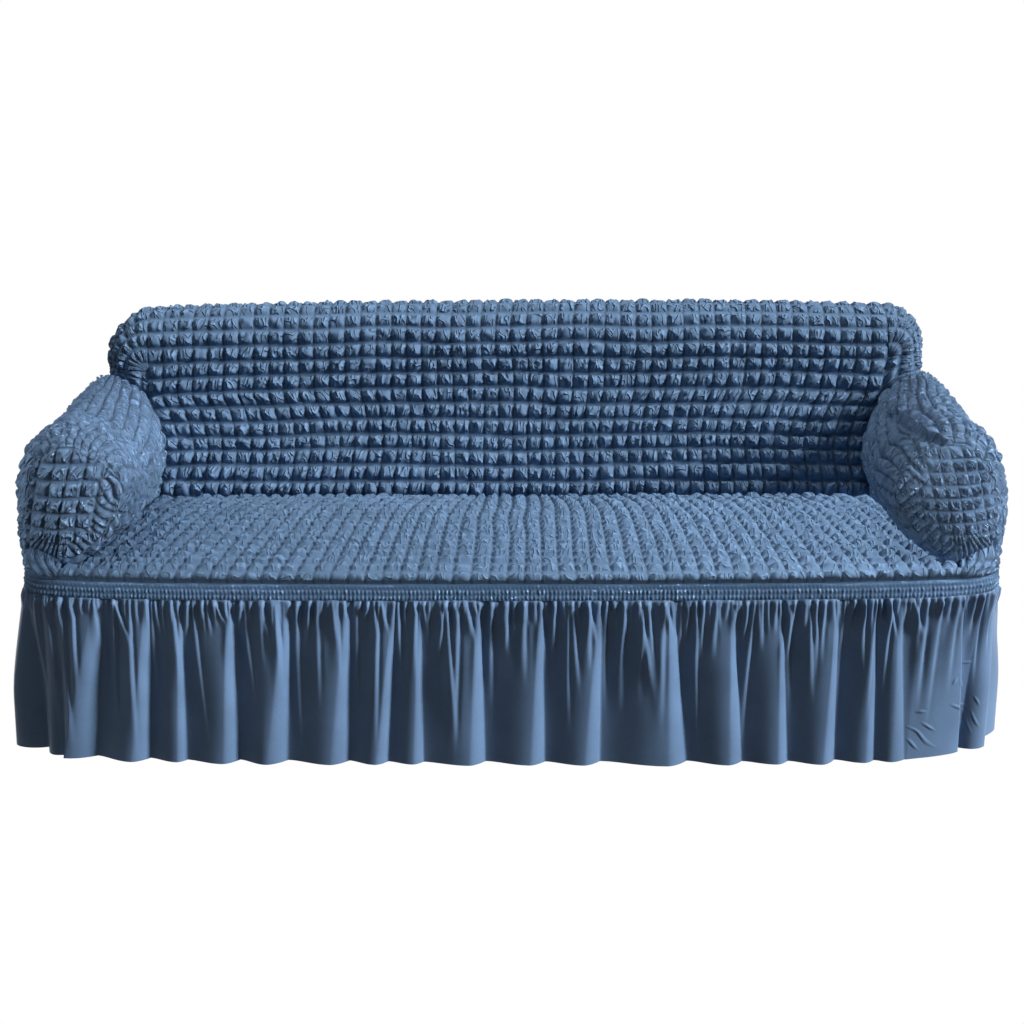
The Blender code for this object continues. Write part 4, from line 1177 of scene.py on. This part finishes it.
def cloth_material(name, colour, roughness, sheen=0.0, creases=None, depth=0.006, gaps=(0.03, 0.10),
                   wrinkled=False):
    """Cloth with a fine grain; puckered cloth has creases too, given as how many to a cell across and
    down, that leave the gaps between its cells smooth, and wrinkled cloth has some low on the right."""
    nodes = Nodes(name)
    place = nodes.add("ShaderNodeTexCoord", {}).outputs["Object"]
    fine = nodes.noise(place, 520.0, 2.0)["Fac"]
    broad = nodes.noise(place, 9.0, 3.0)["Fac"]
    bump = nodes.bump(fine, 0.0005, 0.25)
    tone = nodes.math("ADD", nodes.math("MULTIPLY", fine, 0.4), nodes.math("MULTIPLY", broad, 0.6))
    if wrinkled:
        bump = nodes.bump(nodes.low_creases(place), 0.0021, Normal=bump)
    if creases:
        uv = nodes.add("ShaderNodeUVMap", {}, uv_map="cells").outputs[0]
        split = nodes.add("ShaderNodeSeparateXYZ", {0: uv}).outputs
        in_column = nodes.inside(split[0], gaps[0], 10.0)
        in_cell = nodes.math("MULTIPLY", in_column, nodes.inside(split[1], gaps[1], 8.0))
        ridged = nodes.math("MULTIPLY", nodes.creases(uv, (*creases, 1.0), 0.9, 9.0), in_cell)
        bump = nodes.bump(ridged, depth, Normal=bump)
        # The colour follows the creases, lighter along their ridges and darker between them: a painted
        # highlight on the ridges and painted shade in the creases, mixed with a tone that varies at random.
        tone = nodes.math("ADD", nodes.math("MULTIPLY", ridged, 0.55), nodes.math("MULTIPLY", broad, 0.45))
    ramp = nodes.add("ShaderNodeValToRGB", {0: tone})
    ends = ((0.15 if creases else 0.30, 0.80), (0.70, 1.20))
    for element, (position, brightness) in zip(ramp.color_ramp.elements, ends):
        element.position = position
        element.color = (*[c * brightness for c in colour], 1)
    shown = ramp.outputs[0]
    if creases:
        # Painted shade: the colour drops to 65% in the gaps between columns of puckers, where shade falls.
        light = nodes.math("ADD", nodes.math("MULTIPLY", in_column, 0.35), 0.65)
        shown = nodes.vectors("SCALE", {0: shown, "Scale": light})[0]
    nodes.fill(nodes.shader, {
        "Base Color": shown, "Normal": bump, "Roughness": roughness, "Metallic": 0,
        "Specular IOR Level": 0.15, "Sheen Weight": sheen, "Sheen Roughness": 0.4,
        "Sheen Tint": (0.70, 0.82, 1.0, 1),
    })
    return nodes.material


def bright_material(name, strength):
    """An even white that no shadow shows on."""
    nodes = Nodes(name)
    nodes.fill(nodes.shader, {
        "Base Color": (0, 0, 0, 1), "Specular IOR Level": 0, "Emission Color": (1, 1, 1, 1),
        "Emission Strength": strength,
    })
    return nodes.material


# The photograph's view, fitted to the cover's seams; it is turned down, to the right and round
CAMERA_PLACE = (0.0688, -3.1312, 1.3354)
CAMERA_TURN = (16.333, -1.229, -0.458)
CAMERA_LENS = 49.10


def make_camera():
    pitch, yaw, roll = map(math.radians, CAMERA_TURN)
    forward = Vector((math.sin(yaw) * math.cos(pitch), math.cos(yaw) * math.cos(pitch), -math.sin(pitch)))
    right = Vector((math.cos(yaw), -math.sin(yaw), 0))
    up = right.cross(forward)
    rolled_right = right * math.cos(roll) + up * math.sin(roll)
    rolled_up = up * math.cos(roll) - right * math.sin(roll)
    data = bpy.data.cameras.new("camera")
    data.sensor_width = 36
    data.sensor_fit = "HORIZONTAL"
    data.lens = CAMERA_LENS
    camera = bpy.data.objects.new("camera", data)
    turn = Matrix((rolled_right, rolled_up, -forward)).transposed().to_4x4()
    camera.matrix_world = Matrix.Translation(CAMERA_PLACE) @ turn
    bpy.context.scene.collection.objects.link(camera)
    bpy.context.scene.camera = camera


def add_light(name, kind, way, strength, lit, casting=None, **settings):
    """A light that falls on some pieces alone; way points to it, and casting names the pieces that may
    stand in its way, if not all may."""
    data = bpy.data.lights.new(name, kind)
    data.energy = strength
    for key, value in settings.items():
        setattr(data, key, value)
    lamp = bpy.data.objects.new(name, data)
    lamp.rotation_mode = "QUATERNION"
    lamp.rotation_quaternion = Vector(way).to_track_quat("Z", "Y")
    bpy.context.scene.collection.objects.link(lamp)
    for use, pieces in {"receiver_collection": lit, "blocker_collection": casting}.items():
        if pieces is None:
            continue
        group = bpy.data.collections.new(f"{name}_{use}")
        for piece in pieces:
            group.objects.link(piece)
        setattr(lamp.light_linking, use, group)
    return lamp


def add_sun(name, way, strength, angle, lit):
    add_light(name, "SUN", way, math.pi * strength, lit, angle=math.radians(angle))


KEY_WAY = (0.74, -0.22, 0.63)
SEAT_LAMP_PLACE = (2.4, -0.6, 2.0)
SEAT_LAMP_TARGET = (0, -0.1, 0.42)


def light_cover(pieces):
    """Key lights from the right, a soft one from above, and small fills."""

    def named(*starts):
        return [piece for piece in pieces if piece.name.startswith(starts)]

    seat, skirt, back = named("puckered_seat"), named("gathered_skirt"), named("puckered_inside_back")
    others = named("puckered_outside_back", "puckered_arm", "shirred_waist_band")
    rear = named("puckered_outside_back", "gathered_skirt", "shirred_waist_band")
    add_sun("key", KEY_WAY, 0.76, 7, others + back)
    add_sun("low_key", (0.86, -0.40, 0.24), 0.92, 8, others)
    add_sun("low_key_back", (0.84, -0.38, 0.40), 0.76, 8, back)
    add_sun("skirt_key", (0.86, -0.24, 0.44), 2.15, 10, skirt)
    add_sun("seat_key", KEY_WAY, 0.32, 14, seat)
    way = Vector(SEAT_LAMP_PLACE) - Vector(SEAT_LAMP_TARGET)
    add_light("seat_lamp", "AREA", way, 78, seat, seat, size=0.6).location = SEAT_LAMP_PLACE
    add_sun("top", (-0.12, 0.05, 0.99), 0.46, 60, pieces)
    add_sun("left_fill", (-0.93, -0.18, 0.30), 0.46, 12, named("puckered_arm_left"))
    add_sun("front_fill", (-0.50, -0.84, 0.22), 0.18, 25, named("puckered_arm_right") + seat)
    add_sun("rear_fill", (-0.35, 0.85, 0.40), 0.55, 20, rear)


def make_world(ambient, backdrop):
    """Even soft light from all round, in front of a white studio wall."""
    world = bpy.data.worlds.new("studio")
    world.use_nodes = True
    bpy.context.scene.world = world
    tree = world.node_tree
    soft, wall = tree.nodes["Background"], tree.nodes.new("ShaderNodeBackground")
    for node, colour, strength in ((soft, (0.55, 0.85, 1, 1), ambient), (wall, (1, 1, 1, 1), backdrop)):
        node.inputs[0].default_value = colour
        node.inputs[1].default_value = strength
    path = tree.nodes.new("ShaderNodeLightPath")
    blend = tree.nodes.new("ShaderNodeMixShader")
    tree.links.new(path.outputs["Is Camera Ray"], blend.inputs[0])
    tree.links.new(soft.outputs[0], blend.inputs[1])
    tree.links.new(wall.outputs[0], blend.inputs[2])
    tree.links.new(blend.outputs[0], tree.nodes["World Output"].inputs[0])


def make_floor():
    mesh = bpy.data.meshes.new("floor")
    corners = [(x, y, 0) for x, y in ((-40, -40), (40, -40), (40, 40), (-40, 40))]
    mesh.from_pydata(corners, [], [(0, 1, 2, 3)])
    mesh.materials.append(bright_material("bright_floor", 1.0))
    floor = bpy.data.objects.new("floor", mesh)
    bpy.context.scene.collection.objects.link(floor)
    floor.visible_diffuse = False


def main():
    bpy.context.scene.view_settings.view_transform = "Standard"
    make_camera()
    make_floor()
    make_world(0.050, 1.0)
    knit = (0.135, 0.228, 0.372)
    puckered = cloth_material("puckered_knit", knit, 0.85, creases=(2.1, 1.1))
    stretched = cloth_material("stretched_knit", knit, 0.85, creases=(1.8, 1.2), depth=0.0035,
                               gaps=(0.04, 0.14))
    pleated = cloth_material("pleated_knit", knit, 0.85, creases=(0.9, 3.4), depth=0.005, gaps=(0.03, 0.0))
    shirred = cloth_material("shirred_knit", (0.100, 0.190, 0.330), 0.7, sheen=0.15)
    plain = cloth_material("smooth_weave", (0.096, 0.164, 0.280), 0.42, sheen=0.10, wrinkled=True)
    made = [
        (make_inside_back(puckered), "inside_back", "puckered_cloth", (2.30, 0.66), "stretched"),
        (make_outside_back(puckered), "outside_back", "puckered_cloth", (2.20, 0.44), "stretched"),
        (make_seat(stretched), "seat", "puckered_cloth", (2.00, 0.62), "stretched"),
        (make_arm(-1, "left", pleated), "arm_left", "puckered_cloth", (0.74, 0.72), "stretched"),
        (make_arm(1, "right", pleated), "arm_right", "puckered_cloth", (0.74, 0.72), "stretched"),
        (make_front(-1, "left", puckered), "arm_left_front", "puckered_cloth", (0.22, 0.25), "stretched"),
        (make_front(1, "right", puckered), "arm_right_front", "puckered_cloth", (0.22, 0.25), "stretched"),
        (make_band(shirred), "waist_band", "shirred_band", (2 * HALF_LENGTH, 0.040), "stretched"),
        (make_skirt(plain), "skirt", "plain_cloth", (8.0, 0.375), "gathered"),
    ]
    light_cover([row[0] for row in made])
    for piece, node, slot, flat, held in made:
        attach(piece, "root")
        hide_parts(node)


main()
